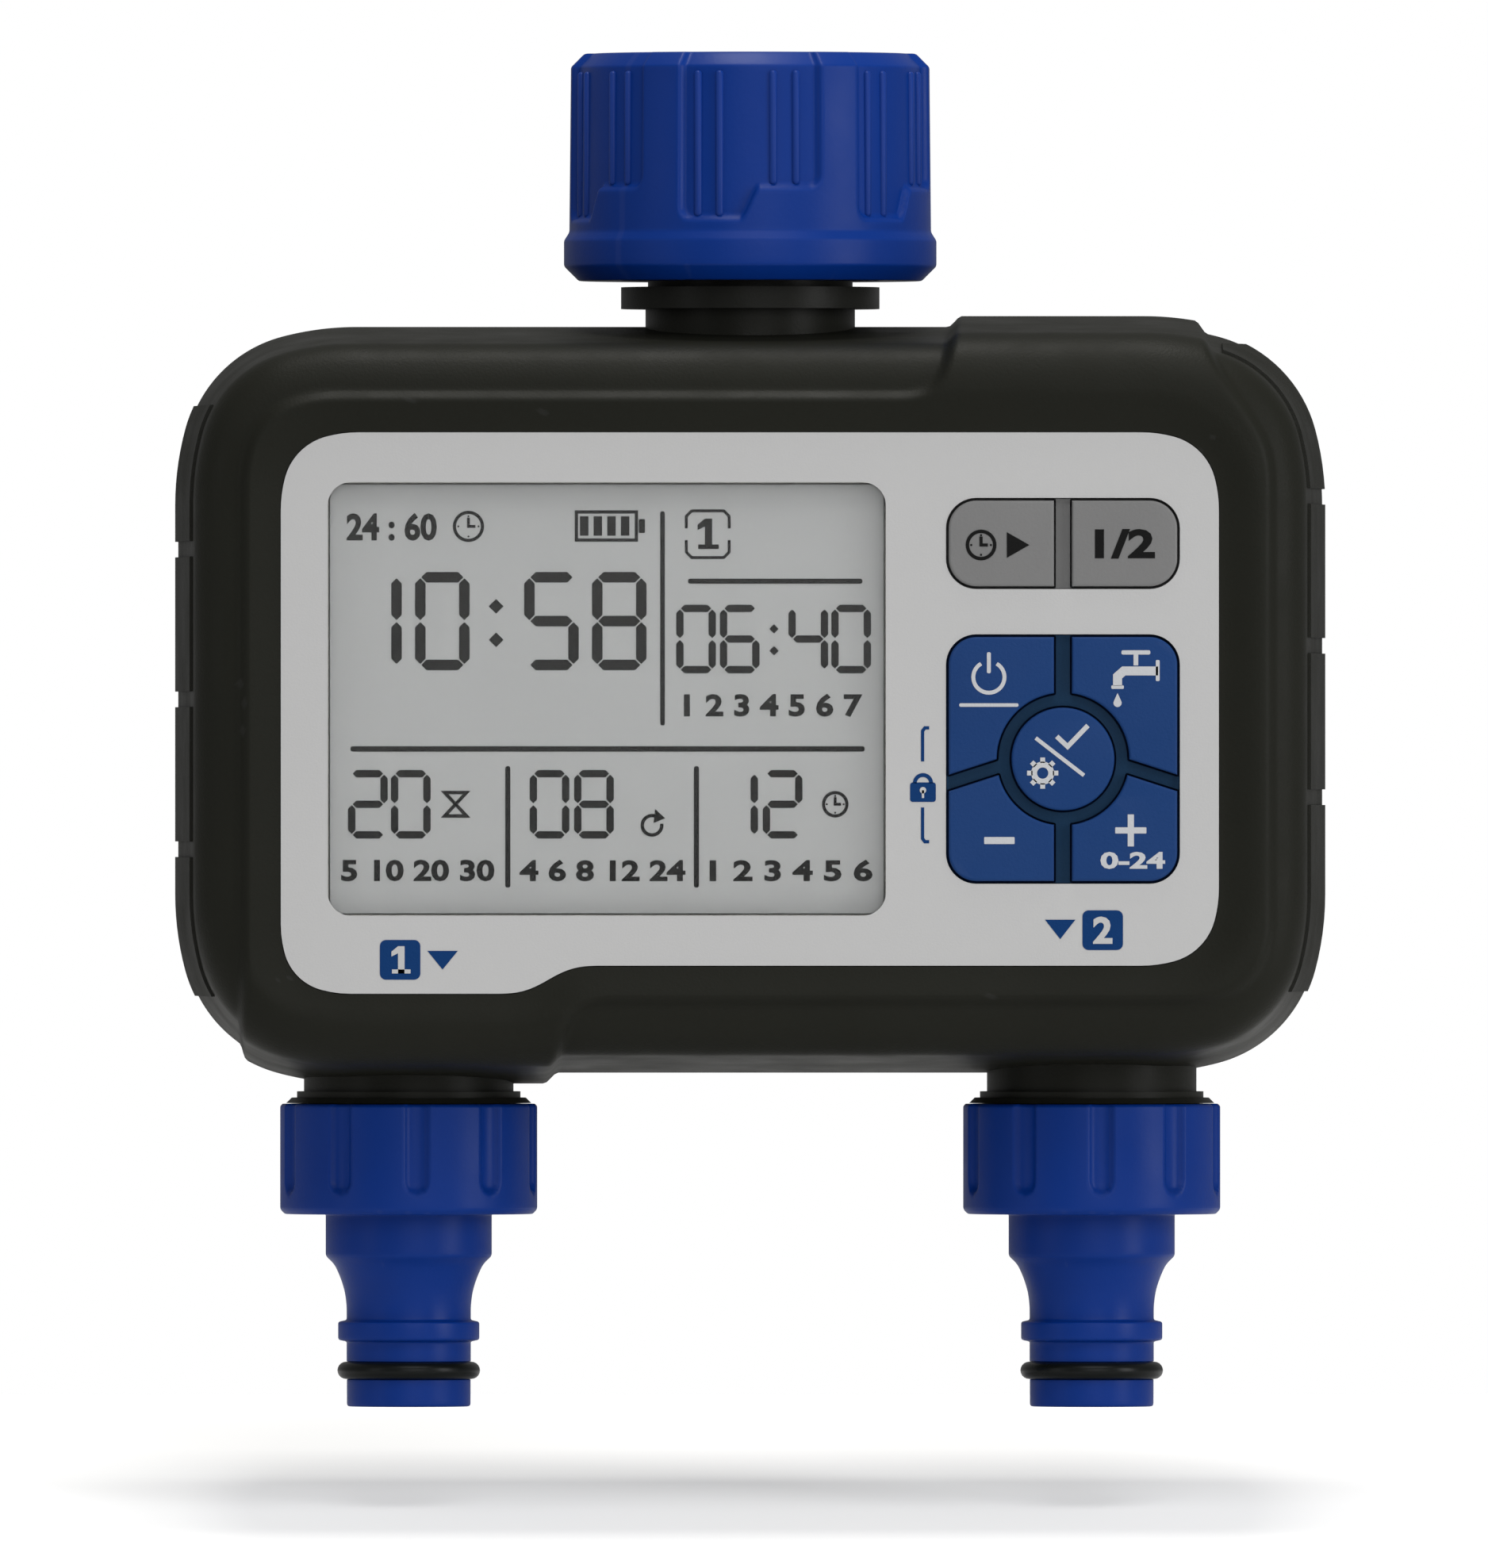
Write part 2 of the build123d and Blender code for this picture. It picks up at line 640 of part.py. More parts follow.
grip_floor_radius = collar_radius - grip_depth
rib_angles = {"long": (-17.5, -10.2), "short": (7.6, 15.3)}
panel_feet = {"long": (-grip_span / 2, -1.0, -2.5), "short": (-1.0, grip_span / 2, 1.5)}
with BuildPart() as inlet_collar:
    add(turned([
        (inlet_neck_radius + running_gap, collar_bottom), (collar_skirt_radius - 1.9, collar_bottom),
        (collar_skirt_radius, collar_bottom + 1.9), (collar_skirt_radius, -5.1),
        (collar_radius + 0.2, -4.0), (collar_radius, collar_top - 1.75),
        (collar_radius - 1.75, collar_top), (inlet_thread_radius + 1.9, collar_top),
        (inlet_thread_radius, inlet_thread_depth), (inlet_thread_radius, 0.0),
        (inlet_thread_radius + 0.7, -0.4), (inlet_thread_radius + 0.7, collar_floor),
        (inlet_neck_radius + running_gap, collar_floor)]))
    for index in range(grip_count):
        turn = index * 360 / grip_count
        for kind, (start, stop, foot) in panel_feet.items():
            with BuildSketch(Plane.XY.offset(foot)):
                add(ring_sector(grip_floor_radius, collar_skirt_radius + 2, turn + start,
                                turn + stop))
            extrude(amount=collar_top - foot + 1, mode=Mode.SUBTRACT)
    for index in range(grip_count):
        turn = index * 360 / grip_count
        for kind, angles in rib_angles.items():
            foot = panel_feet[kind][2]
            for angle in angles:
                place = radians(270 + turn + angle)
                add(rod(rib_radius, foot, collar_top - 2.3, grip_floor_radius * cos(place),
                        grip_floor_radius * sin(place)))
inlet_collar.part.label = "inlet_collar"
export_step(inlet_collar.part, "parts/inlet_collar.step")

with BuildPart() as collar_ring:
    add(rod(inlet_thread_radius + 0.3, ring_groove_low, ring_groove_high))
    add(rod(ring_groove_radius, ring_groove_low, ring_groove_high), mode=Mode.SUBTRACT)
    add(block(-1.5, 1.5, 0, 20, ring_groove_low, ring_groove_high), mode=Mode.SUBTRACT)
collar_ring.part.label = "collar_ring"
export_step(collar_ring.part, "parts/collar_ring.step")

with BuildPart() as inlet_washer:
    add(rod(washer_radius, -inlet_washer_thick, 0))
    add(rod(washer_bore, -inlet_washer_thick, 0), mode=Mode.SUBTRACT)
inlet_washer.part.label = "inlet_washer"
export_step(inlet_washer.part, "parts/inlet_washer.step")

with BuildPart() as filter_screen:
    add(turned([(9.0, -0.6), (washer_bore, -0.6), (washer_bore, -2.2), (9.3, -2.2),
                (7.4, -34.0), (0, -35.5), (0, -34.6), (6.6, -33.2), (8.4, -2.2)]))
filter_screen.part.label = "filter_screen"
export_step(filter_screen.part, "parts/filter_screen.step")

# ---- outlet adaptors --------------------------------------------------------------------
washer_floor = stub_end - adaptor_washer_thick
groove_half = 1.65
groove_depth = 0.8
groove_cutter = (groove_half ** 2 + groove_depth ** 2) / (2 * groove_depth)
o_groove = o_ring_section + 0.05


def adaptor(x):
    """A ribbed nut and hose spigot in one piece."""
    with BuildPart() as piece:
        add(turned([
            (stub_radius + running_gap, nut_top), (nut_radius - 0.3, nut_top),
            (nut_radius, nut_top - 0.3), (nut_radius, nut_bottom + 0.8),
            (nut_radius - 0.7, nut_bottom), (collar_step_radius, nut_bottom),
            (collar_step_radius, -135.9), (9.6, -137.2), (8.7, -138.9), (8.2, -140.4),
            (spigot_radius, -141.8), (spigot_radius, -144.2), (9.0, -144.4),
            (9.1, -144.6), (9.1, -146.6), (8.95, -146.8), (spigot_radius, -146.9),
            (spigot_radius, o_ring_height + o_groove), (spigot_radius - 1.05, o_ring_height + o_groove),
            (spigot_radius - 1.05, o_ring_height - o_groove),
            (spigot_radius - 0.03, o_ring_height - o_groove),
            (spigot_radius - 0.03, spigot_end + 0.3), (spigot_radius - 0.33, spigot_end),
            (spigot_bore, spigot_end), (spigot_bore, washer_floor),
            (stub_radius + running_gap, washer_floor)], x))
        reach = nut_radius - groove_depth + groove_cutter
        for index in range(nut_grooves):
            place = radians(270 + 4 + index * 360 / nut_grooves)
            spot = (x + reach * cos(place), reach * sin(place))
            cutter = rod(groove_cutter, groove_end + groove_cutter, nut_top + 1, *spot)
            with BuildPart() as tip:
                with Locations((*spot, groove_end + groove_cutter)):
                    Sphere(groove_cutter)
            add(cutter, mode=Mode.SUBTRACT)
            add(tip.part, mode=Mode.SUBTRACT)
    return piece.part


for side, x in sides.items():
    with BuildPart() as outlet_adaptor:
        add(adaptor(x))
    outlet_adaptor.part.label = "outlet_adaptor_" + side
    export_step(outlet_adaptor.part, "parts/outlet_adaptor_" + side + ".step")

    with BuildPart() as spigot_o_ring:
        with BuildSketch(facing(0, x)):
            with Locations((spigot_radius - 1.05 + o_ring_section, o_ring_height)):
                Circle(o_ring_section)
        revolve(axis=Axis((x, 0, 0), (0, 0, 1)))
    spigot_o_ring.part.label = "spigot_o_ring_" + side
    export_step(spigot_o_ring.part, "parts/spigot_o_ring_" + side + ".step")

    with BuildPart() as adaptor_washer:
        add(rod(stub_radius - 0.2, washer_floor, stub_end, x))
        add(rod(spigot_bore + 1.5, washer_floor, stub_end, x), mode=Mode.SUBTRACT)
    adaptor_washer.part.label = "adaptor_washer_" + side
    export_step(adaptor_washer.part, "parts/adaptor_washer_" + side + ".step")

# ---- valves -------------------------------------------------------------------------------
bonnet_low = chamber_top + diaphragm_thick
bonnet_rim = bonnet_low + 3.0
cavity_roof = bonnet_low + 5.0
bonnet_high = bonnet_low + 8.5
disc_radius = 7.2
disc_low = chamber_top - seat_drop + 0.05
disc_high = bonnet_low + 0.2
core_top = bonnet_high + 28.0
core_bore_top = core_top - 3.0
core_outer = 4.6
plunger_low = bonnet_high + 0.6
plunger_high = plunger_low + 17.4
coil_low = bonnet_high + 1.8
coil_high = core_top - 2.6
yoke_low, yoke_high = bonnet_high + 0.1, core_top - 0.9
yoke_wall = 1.5
yoke_half_width, yoke_half_deep = 12.5, 9.0


def around(x, y=0.0):
    """The four bonnet screw places about one valve."""
    return [(x + bonnet_screw_circle * cos(radians(angle)),
             y + bonnet_screw_circle * sin(radians(angle))) for angle in bonnet_angles]


for side, x in sides.items():
    with BuildPart() as diaphragm:
        add(rod(chamber_radius, chamber_top, bonnet_low, x))
        add(rod(disc_radius + 0.3, chamber_top, bonnet_low, x), mode=Mode.SUBTRACT)
        for spot in around(x):
            add(rod(1.2, chamber_top, bonnet_low, *spot), mode=Mode.SUBTRACT)
    diaphragm.part.label = "diaphragm_" + side
    export_step(diaphragm.part, "parts/diaphragm_" + side + ".step")

    with BuildPart() as valve_disc:
        add(rod(disc_radius, disc_low, disc_high, x))
    valve_disc.part.label = "valve_disc_" + side
    export_step(valve_disc.part, "parts/valve_disc_" + side + ".step")

    with BuildPart() as disc_spring:
        add(coil(4.6, 0.35, disc_high + 0.05, cavity_roof - 0.05, 3, x))
    disc_spring.part.label = "disc_spring_" + side
    export_step(disc_spring.part, "parts/disc_spring_" + side + ".step")

    with BuildPart() as valve_bonnet:
        add(rod(chamber_radius, bonnet_low, bonnet_rim, x))
        add(rod(12.0, bonnet_low, bonnet_high, x))
        add(rod(core_outer, bonnet_high - 1, core_top, x))
        add(rod(9.0, bonnet_low, cavity_roof, x), mode=Mode.SUBTRACT)
        add(rod(1.0, cavity_roof - 1, bonnet_high + 1, x), mode=Mode.SUBTRACT)
        add(rod(plunger_radius + running_gap, bonnet_high, core_bore_top, x), mode=Mode.SUBTRACT)
        for spot in around(x):
            add(rod(1.2, bonnet_low, bonnet_rim, *spot), mode=Mode.SUBTRACT)
    valve_bonnet.part.label = "valve_bonnet_" + side
    export_step(valve_bonnet.part, "parts/valve_bonnet_" + side + ".step")

    with BuildPart() as solenoid_coil:
        add(rod(10.5, coil_low, coil_high, x))
        add(rod(core_outer + running_gap, coil_low, coil_high, x), mode=Mode.SUBTRACT)
    solenoid_coil.part.label = "solenoid_coil_" + side
    export_step(solenoid_coil.part, "parts/solenoid_coil_" + side + ".step")

    with BuildPart() as solenoid_plunger:
        add(rod(plunger_radius, plunger_low, plunger_high, x))
    solenoid_plunger.part.label = "solenoid_plunger_" + side
    export_step(solenoid_plunger.part, "parts/solenoid_plunger_" + side + ".step")

    with BuildPart() as plunger_spring:
        add(coil(2.6, 0.3, plunger_high + 0.05, core_bore_top - 0.05, 4, x))
    plunger_spring.part.label = "plunger_spring_" + side
    export_step(plunger_spring.part, "parts/plunger_spring_" + side + ".step")

with BuildPart() as bonnet_screws:
    for x in sides.values():
        for spot in around(x):
            add(rod(1.8, bonnet_rim, bonnet_rim + 1.6, *spot))
            add(rod(1.0, chamber_top - 8, bonnet_rim, *spot))
bonnet_screws.part.label = "bonnet_screws"
export_step(bonnet_screws.part, "parts/bonnet_screws.step")

with BuildPart() as solenoid_yokes:
    for x in sides.values():
        add(block(x - yoke_half_width, x + yoke_half_width, -yoke_half_deep, yoke_half_deep,
                  yoke_low, yoke_high)
            - block(x - yoke_half_width + yoke_wall, x + yoke_half_width - yoke_wall,
                    -yoke_half_deep, yoke_half_deep, yoke_low + yoke_wall, yoke_high - yoke_wall)
            - rod(core_outer + running_gap, yoke_low, yoke_high, x))
solenoid_yokes.part.label = "solenoid_yokes"
export_step(solenoid_yokes.part, "parts/solenoid_yokes.step")

# ---- battery box, cells and door --------------------------------------------------------------
rear_inner = rear_depth - wall
bay_half = cell_pitch * cell_count / 2 + 0.2
bay_tall = cell_body + cell_nub + contact_spring_tall + contact_plate_thick
bay_top = door_top - 3.4
bay_low = bay_top - bay_tall
opening_half = door_width / 2 + door_gap
opening_top = door_top + door_gap
# the gap under the door lets its lower edge swing clear of the shell
door_edge_rise = door_top - door_height - hinge_height
door_swing_reach = sqrt(door_edge_rise ** 2 + (knuckle_radius - door_thick) ** 2
                        - knuckle_radius ** 2)
opening_low = hinge_height + door_swing_reach - running_gap
cell_y = rear_inner - 0.9 - 0.5 - cell_radius
bay_floor = cell_y - cell_radius - 0.1
box_front = bay_floor - box_wall
with BuildPart() as battery_box:
    add(block(-bay_half - box_wall, bay_half + box_wall, box_front, rear_inner - 1.4,
              bay_low - box_wall, bay_top + box_wall))
    add(block(-opening_half - 1.6, opening_half + 1.6, rear_inner - 1.4, rear_inner,
              opening_low + 0.6, opening_top + 1.6))
    add(block(-bay_half, bay_half, bay_floor, rear_inner, bay_low, bay_top),
        mode=Mode.SUBTRACT)
    add(block(-bay_half - 2.6, bay_half + 2.6, rear_inner - 0.7, rear_inner,
              bay_low - 2.0, bay_top + 2.0)
        - block(-bay_half - 1.0, bay_half + 1.0, rear_inner - 0.7, rear_inner,
                bay_low - 0.8, bay_top + 0.8), mode=Mode.SUBTRACT)
battery_box.part.label = "battery_box"
export_step(battery_box.part, "parts/battery_box.step")

with BuildPart() as door_seal:
    add(block(-bay_half - 2.6, bay_half + 2.6, rear_inner - 0.7, rear_inner + 0.3,
              bay_low - 2.0, bay_top + 2.0)
        - block(-bay_half - 1.0, bay_half + 1.0, rear_inner - 0.7, rear_inner + 0.3,
                bay_low - 0.8, bay_top + 0.8))
door_seal.part.label = "door_seal"
export_step(door_seal.part, "parts/door_seal.step")

with BuildPart() as battery_cells:
    for index in range(cell_count):
        x = (index - (cell_count - 1) / 2) * cell_pitch
        if index % 2:
            base = bay_low + contact_spring_tall
            add(rod(cell_radius, base, base + cell_body, x, cell_y))
            add(rod(2.7, base + cell_body, base + cell_body + cell_nub, x, cell_y))
        else:
            base = bay_top - contact_spring_tall
            add(rod(cell_radius, base - cell_body, base, x, cell_y))
            add(rod(2.7, base - cell_body - cell_nub, base - cell_body, x, cell_y))
battery_cells.part.label = "battery_cells"
export_step(battery_cells.part, "parts/battery_cells.step")

with BuildPart() as contact_springs:
    for index in range(cell_count):
        x = (index - (cell_count - 1) / 2) * cell_pitch
        low = bay_low if index % 2 else bay_top - contact_spring_tall
        add(coil(3.0, 0.3, low, low + contact_spring_tall, 2, x, cell_y))
contact_springs.part.label = "contact_springs"
export_step(contact_springs.part, "parts/contact_springs.step")

with BuildPart() as contact_plates:
    for index in range(cell_count):
        x = (index - (cell_count - 1) / 2) * cell_pitch
        low = bay_top - contact_plate_thick if index % 2 else bay_low
        add(block(x - 4.5, x + 4.5, cell_y - 4.5, cell_y + 4.5, low,
                  low + contact_plate_thick))
contact_plates.part.label = "contact_plates"
export_step(contact_plates.part, "parts/contact_plates.step")

hinge_y = rear_depth - knuckle_radius
knuckle_spans = [(-26.0, -16.0), (16.0, 26.0)]
latch_half, latch_tall = 8.0, 9.0
latch_top = door_top - 1.0
latch_thick = 1.0
tongue_half = 5.0
with BuildPart() as battery_door:
    with BuildSketch(facing(rear_depth - door_thick)):
        add(rounded_rectangle(-door_width / 2, door_width / 2, door_top - door_height, door_top,
                              2.0))
    extrude(amount=-door_thick)
    # shallow slot for the latch and the way out of its tongue
    add(block(-latch_half - 0.2, latch_half + 0.2, rear_depth - latch_thick - 0.1, rear_depth,
              latch_top - latch_tall - latch_travel - 0.3, latch_top + 0.2), mode=Mode.SUBTRACT)
    add(block(-tongue_half - 0.2, tongue_half + 0.2, rear_depth - latch_thick - 0.1, rear_depth,
              latch_top, door_top), mode=Mode.SUBTRACT)
    for x0, x1 in knuckle_spans:
        with BuildSketch(Plane.YZ.offset(x0)):
            with Locations((hinge_y, hinge_height)):
                Circle(knuckle_radius)
        extrude(amount=x1 - x0)
        add(block(x0, x1, rear_depth - door_thick, rear_depth, hinge_height,
                  door_top - door_height + 1))
        with BuildSketch(Plane.YZ.offset(x0)):
            with Locations((hinge_y, hinge_height)):
                Circle(hinge_pin_radius + 0.05)
        extrude(amount=x1 - x0, mode=Mode.SUBTRACT)
battery_door.part.label = "battery_door"
export_step(battery_door.part, "parts/battery_door.step")

with BuildPart() as door_latch:
    add(block(-latch_half, latch_half, rear_depth - latch_thick, rear_depth,
              latch_top - latch_tall, latch_top))
    add(block(-tongue_half, tongue_half, rear_depth - latch_thick, rear_depth - 0.2,
              latch_top - 1, door_top + 1.6))
    for step in range(3):
        add(block(-latch_half + 1.5, latch_half - 1.5, rear_depth, rear_depth + 0.5,
                  latch_top - 2.6 - 2.4 * step, latch_top - 1.6 - 2.4 * step))
door_latch.part.label = "door_latch"
export_step(door_latch.part, "parts/door_latch.step")

pin_reach = 3.0
with BuildPart() as hinge_pins:
    for x0, x1 in knuckle_spans:
        with BuildSketch(Plane.YZ.offset(x0 - pin_reach)):
            with Locations((hinge_y, hinge_height)):
                Circle(hinge_pin_radius)
        extrude(amount=x1 - x0 + 2 * pin_reach)
hinge_pins.part.label = "hinge_pins"
export_step(hinge_pins.part, "parts/hinge_pins.step")

# ---- rear shell ----------------------------------------------------------------------------------
head_depth = 24.0
pocket_radius = knuckle_radius + 0.5
with BuildPart() as rear_shell:
    add(rear_out)
    add(rear_in, mode=Mode.SUBTRACT)
    for x, z in screw_places:
        add(peg(boss_radius, 0, rear_depth, x, z) & rear_out)
    for x0, x1 in knuckle_spans:
        add(block(x0 - 4, x1 + 4, hinge_y - 4.6, rear_depth - 0.8, hinge_height - 4.4,
                  opening_low))
    for x, z in screw_places:
        add(peg(1.5, 0, rear_depth, x, z), mode=Mode.SUBTRACT)
        add(peg(2.9, head_depth, rear_depth, x, z), mode=Mode.SUBTRACT)
    add(block(-opening_half, opening_half, rear_inner - 1, rear_depth + 1, opening_low,
              opening_top), mode=Mode.SUBTRACT)
    for x0, x1 in knuckle_spans:
        with BuildSketch(Plane.YZ.offset(x0 - 0.3)):
            with Locations((hinge_y, hinge_height)):
                Circle(pocket_radius)
        extrude(amount=x1 - x0 + 0.6, mode=Mode.SUBTRACT)
        add(block(x0 - 0.3, x1 + 0.3, hinge_y, rear_depth + 1,
                  hinge_height - pocket_radius - 0.6, opening_low + 1), mode=Mode.SUBTRACT)
        add(block(x0 - 0.3, x1 + 0.3, rear_depth - door_thick - 0.6, rear_depth + 1,
                  hinge_height, opening_low + 1), mode=Mode.SUBTRACT)
        with BuildSketch(Plane.YZ.offset(x0 - pin_reach)):
            with Locations((hinge_y, hinge_height)):
                Circle(hinge_pin_radius)
        extrude(amount=x1 - x0 + 2 * pin_reach, mode=Mode.SUBTRACT)
    # keeper notch for the latch tongue, in the wall above the door
    add(block(-tongue_half - 0.3, tongue_half + 0.3, rear_depth - latch_thick - 0.2,
              rear_depth + 1, opening_top - 1, door_top + 1.9), mode=Mode.SUBTRACT)
    add(necks(neck_hole), mode=Mode.SUBTRACT)
    for pocket in grip_pockets.values():
        add(pocket, mode=Mode.SUBTRACT)
rear_shell.part.label = "rear_shell"
export_step(rear_shell.part, "parts/rear_shell.step")

with BuildPart() as housing_screws:
    for x, z in screw_places:
        add(peg(2.6, head_depth, head_depth + 2.2, x, z))
        add(peg(1.2, -14.0, head_depth, x, z))
        add(block(x - 1.8, x + 1.8, head_depth + 1.5, head_depth + 2.2, z - 0.35, z + 0.35),
            mode=Mode.SUBTRACT)
        add(block(x - 0.35, x + 0.35, head_depth + 1.5, head_depth + 2.2, z - 1.8, z + 1.8),
            mode=Mode.SUBTRACT)
housing_screws.part.label = "housing_screws"
export_step(housing_screws.part, "parts/housing_screws.step")

# ---- leads, held at both ends inside the housing -----------------------------------------------------
lead_radius = 0.6


def lead(points, radii):
    """A wire along straight runs joined by tangent arcs."""
    with BuildPart() as wire:
        with BuildLine() as route:
            FilletPolyline(*points, radius=radii)
        with BuildSketch(Plane(origin=route.wire() @ 0, z_dir=route.wire() % 0)):
            Circle(lead_radius)
        sweep(path=route.wire())
    return wire.part


with BuildPart() as leads:
    for shift in (0.0, 1.5):
        x, z = lead_socket
        add(lead([(x + shift, box_front + 6, bay_top + box_wall), (x + shift, box_front + 6, -31.0),
                  (x + shift, 12.0, -28.2), (x + shift, -4.0, -28.4),
                  (x + shift, -15.0, -33.5), (x + shift, board_back + 4.0, z + 2.0)],
                 [2.5, 5.0, 12.0, 8.0]))
        for way in (-1, 1):
            start = way * (coil_socket_x + 3.4 + shift)
            add(lead([(start, -10.6, coil_high - 7.0), (start, -14.0, coil_high - 6.4),
                      (start - way * 1.0, -17.2, coil_high - 2.0),
                      (start - way * 3.0, board_back + 3.0, coil_socket_height - 3.6)],
                     [1.6, 3.0]))
leads.part.label = "leads"
export_step(leads.part, "parts/leads.step")
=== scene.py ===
"""Drip irrigation timer: moulded finishes, soft-stepped front frame, display and key marks."""
import json
import math

import bmesh
import bpy
import numpy as np
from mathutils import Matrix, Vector


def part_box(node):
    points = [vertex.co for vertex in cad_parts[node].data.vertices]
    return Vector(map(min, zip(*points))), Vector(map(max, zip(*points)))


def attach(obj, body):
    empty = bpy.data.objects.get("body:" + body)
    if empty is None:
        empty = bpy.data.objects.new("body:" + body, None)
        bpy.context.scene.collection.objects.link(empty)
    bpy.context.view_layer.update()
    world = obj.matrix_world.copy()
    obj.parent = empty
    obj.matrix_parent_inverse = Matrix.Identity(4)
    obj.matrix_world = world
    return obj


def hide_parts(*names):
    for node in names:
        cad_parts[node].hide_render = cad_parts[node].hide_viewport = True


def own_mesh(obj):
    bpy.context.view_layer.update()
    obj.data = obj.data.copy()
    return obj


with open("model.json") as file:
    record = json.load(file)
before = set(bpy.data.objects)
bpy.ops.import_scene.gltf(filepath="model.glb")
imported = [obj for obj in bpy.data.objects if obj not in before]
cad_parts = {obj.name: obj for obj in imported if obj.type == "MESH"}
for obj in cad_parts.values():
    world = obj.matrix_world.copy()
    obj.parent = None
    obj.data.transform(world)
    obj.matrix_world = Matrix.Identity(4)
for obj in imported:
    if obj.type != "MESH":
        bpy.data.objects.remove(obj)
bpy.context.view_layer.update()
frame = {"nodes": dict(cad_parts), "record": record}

MM = 0.001
scene = bpy.context.scene
nodes_cad = frame["nodes"]
body_of = {node: body for body, members in frame["record"]["behaviour"]["bodies"].items()
           for node in members}


def low_high(node):
    """A node's box in millimetres."""
    low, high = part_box(node)
    return np.array(low) / MM, np.array(high) / MM


# ---- sizes taken from the frame, and the mouldings' own sizes, in mill
panel_low, panel_high = low_high("face_panel")
collar_low, collar_high = low_high("inlet_collar")
panel_face = panel_low[1]
glass_face = low_high("lcd_glass")[0][1]
body_half_width = 73.7
body_half_height = 48.05
body_mid = -64.25
corner_span = 23.0
draft = math.radians(5.0)       # lean of the front moulding's sides
front_depth = 31.6              # parting line to face
front_round = 6.0               # between the sides and the face
frame_proud = 1.4               # the raised frame above the face
wall = 2.4
print_thick = 0.05              # of every printed mark


# ---- outlines --------------------------------------------------------
def soft_outline(corners, step=0.5, tail_share=1 / 6, middle_share=0.453):
    """Points of a closed outline whose corners (x, z, span) turn on three tangent arcs."""
    count = len(corners)
    points = []
    for i, (x, z, span) in enumerate(corners):
        corner = np.array([x, z], float)
        before = corner - np.array(corners[i - 1][:2], float)
        after = np.array(corners[(i + 1) % count][:2], float) - corner
        before /= np.linalg.norm(before)
        after /= np.linalg.norm(after)
        cross = before[0] * after[1] - before[1] * after[0]
        way = 1.0 if cross > 0 else -1.0
        turn = math.acos(max(-1.0, min(1.0, float(before @ after))))
        tail = turn * tail_share
        stages = ((1.0, tail), (middle_share, turn - 2 * tail), (1.0, tail))
        rise, angle = 0.0, 0.0
        for radius, sweep in stages:
            rise += radius * (math.cos(angle) - math.cos(angle + sweep))
            angle += sweep
        scale = span * math.sin(turn) / rise
        place = corner - before * span
        heading = math.atan2(before[1], before[0])
        points.append(place.copy())
        for radius, sweep in stages:
            radius *= scale
            parts = max(2, int(radius * sweep / step) + 1)
            for _ in range(parts):
                half = way * sweep / parts / 2
                chord = 2 * radius * math.sin(sweep / parts / 2)
                heading += half
                place = place + chord * np.array([math.cos(heading), math.sin(heading)])
                heading += half
                points.append(place.copy())
    closed = np.array(points)
    filled = []
    for i, point in enumerate(closed):
        after = closed[(i + 1) % len(closed)]
        gap = np.linalg.norm(after - point)
        parts = max(1, int(round(gap / step)))
        filled.extend(point + (after - point) * k / parts for k in range(parts))
    return np.array(filled)


def outward(points):
    """Unit normals of a clockwise outline."""
    along = np.roll(points, -1, 0) - np.roll(points, 1, 0)
    along /= np.linalg.norm(along, axis=1)[:, None]
    return np.stack([-along[:, 1], along[:, 0]], 1)


def distance_inside(points, outline):
    """Signed distance of points to a closed outline, positive inside."""
    a = outline
    b = np.roll(outline, -1, 0)
    best = np.full(len(points), 1e9)
    crossings = np.zeros(len(points), int)
    for start, stop in zip(a, b):
        run = stop - start
        along = np.clip((points - start) @ run / max(run @ run, 1e-12), 0, 1)
        gap = points - start - along[:, None] * run
        best = np.minimum(best, (gap ** 2).sum(1))
        spans = (start[1] > points[:, 1]) != (stop[1] > points[:, 1])
        rise = stop[1] - start[1]
        rise = rise if abs(rise) > 1e-12 else 1e-12
        left = points[:, 0] < start[0] + (points[:, 1] - start[1]) / rise * run[0]
        crossings += spans & left
    return np.sqrt(best) * np.where(crossings % 2 == 1, 1.0, -1.0)


def smooth_step(value, low, high):
    """0 below low, 1 above high, and an S between."""
    t = np.clip((value - low) / (high - low), 0, 1)
    return t * t * (3 - 2 * t)


def arc(x, z, radius, degrees):
    """Points of a circle at the given angles."""
    return [(x + radius * math.cos(math.radians(a)), z + radius * math.sin(math.radians(a)))
            for a in degrees]


body_outline = soft_outline([
    (side * body_half_width, body_mid + end * body_half_height, corner_span)
    for side, end in ((-1, 1), (1, 1), (1, -1), (-1, -1))])
# corners (x, z, span), clockwise from the top left
frame_outline = soft_outline([
    (-65.0, -25.2, 12.0), (24.4, -25.2, 5.0), (28.5, -6.2, 1.0), (56.0, -6.2, 1.0),
    (58.6, -20.5, 5.0), (66.8, -31.5, 6.0), (66.8, -103.0, 11.0), (-22.6, -103.0, 5.0),
    (-29.0, -122.3, 1.0), (-65.0, -122.3, 1.0)], step=1.0)
panel_outline = soft_outline([
    (panel_low[0], panel_high[2], 10.0), (panel_high[0], panel_high[2], 10.0),
    (panel_high[0], -98.4, 10.0), (-22.8, -98.4, 3.4), (-29.0, panel_low[2], 3.4),
    (panel_low[0], panel_low[2], 9.0)], step=0.6)


# ---- mesh helpers ----------------------------------------------------
def make_object(name, points, faces, material=None, crease=35.0):
    """A mesh object from millimetre points, smooth except across sharp edges."""
    mesh = bpy.data.meshes.new(name)
    mesh.from_pydata([tuple(p) for p in np.asarray(points, float) * MM], [], faces)
    mesh.update()
    return finish_mesh(name, mesh, material, crease)


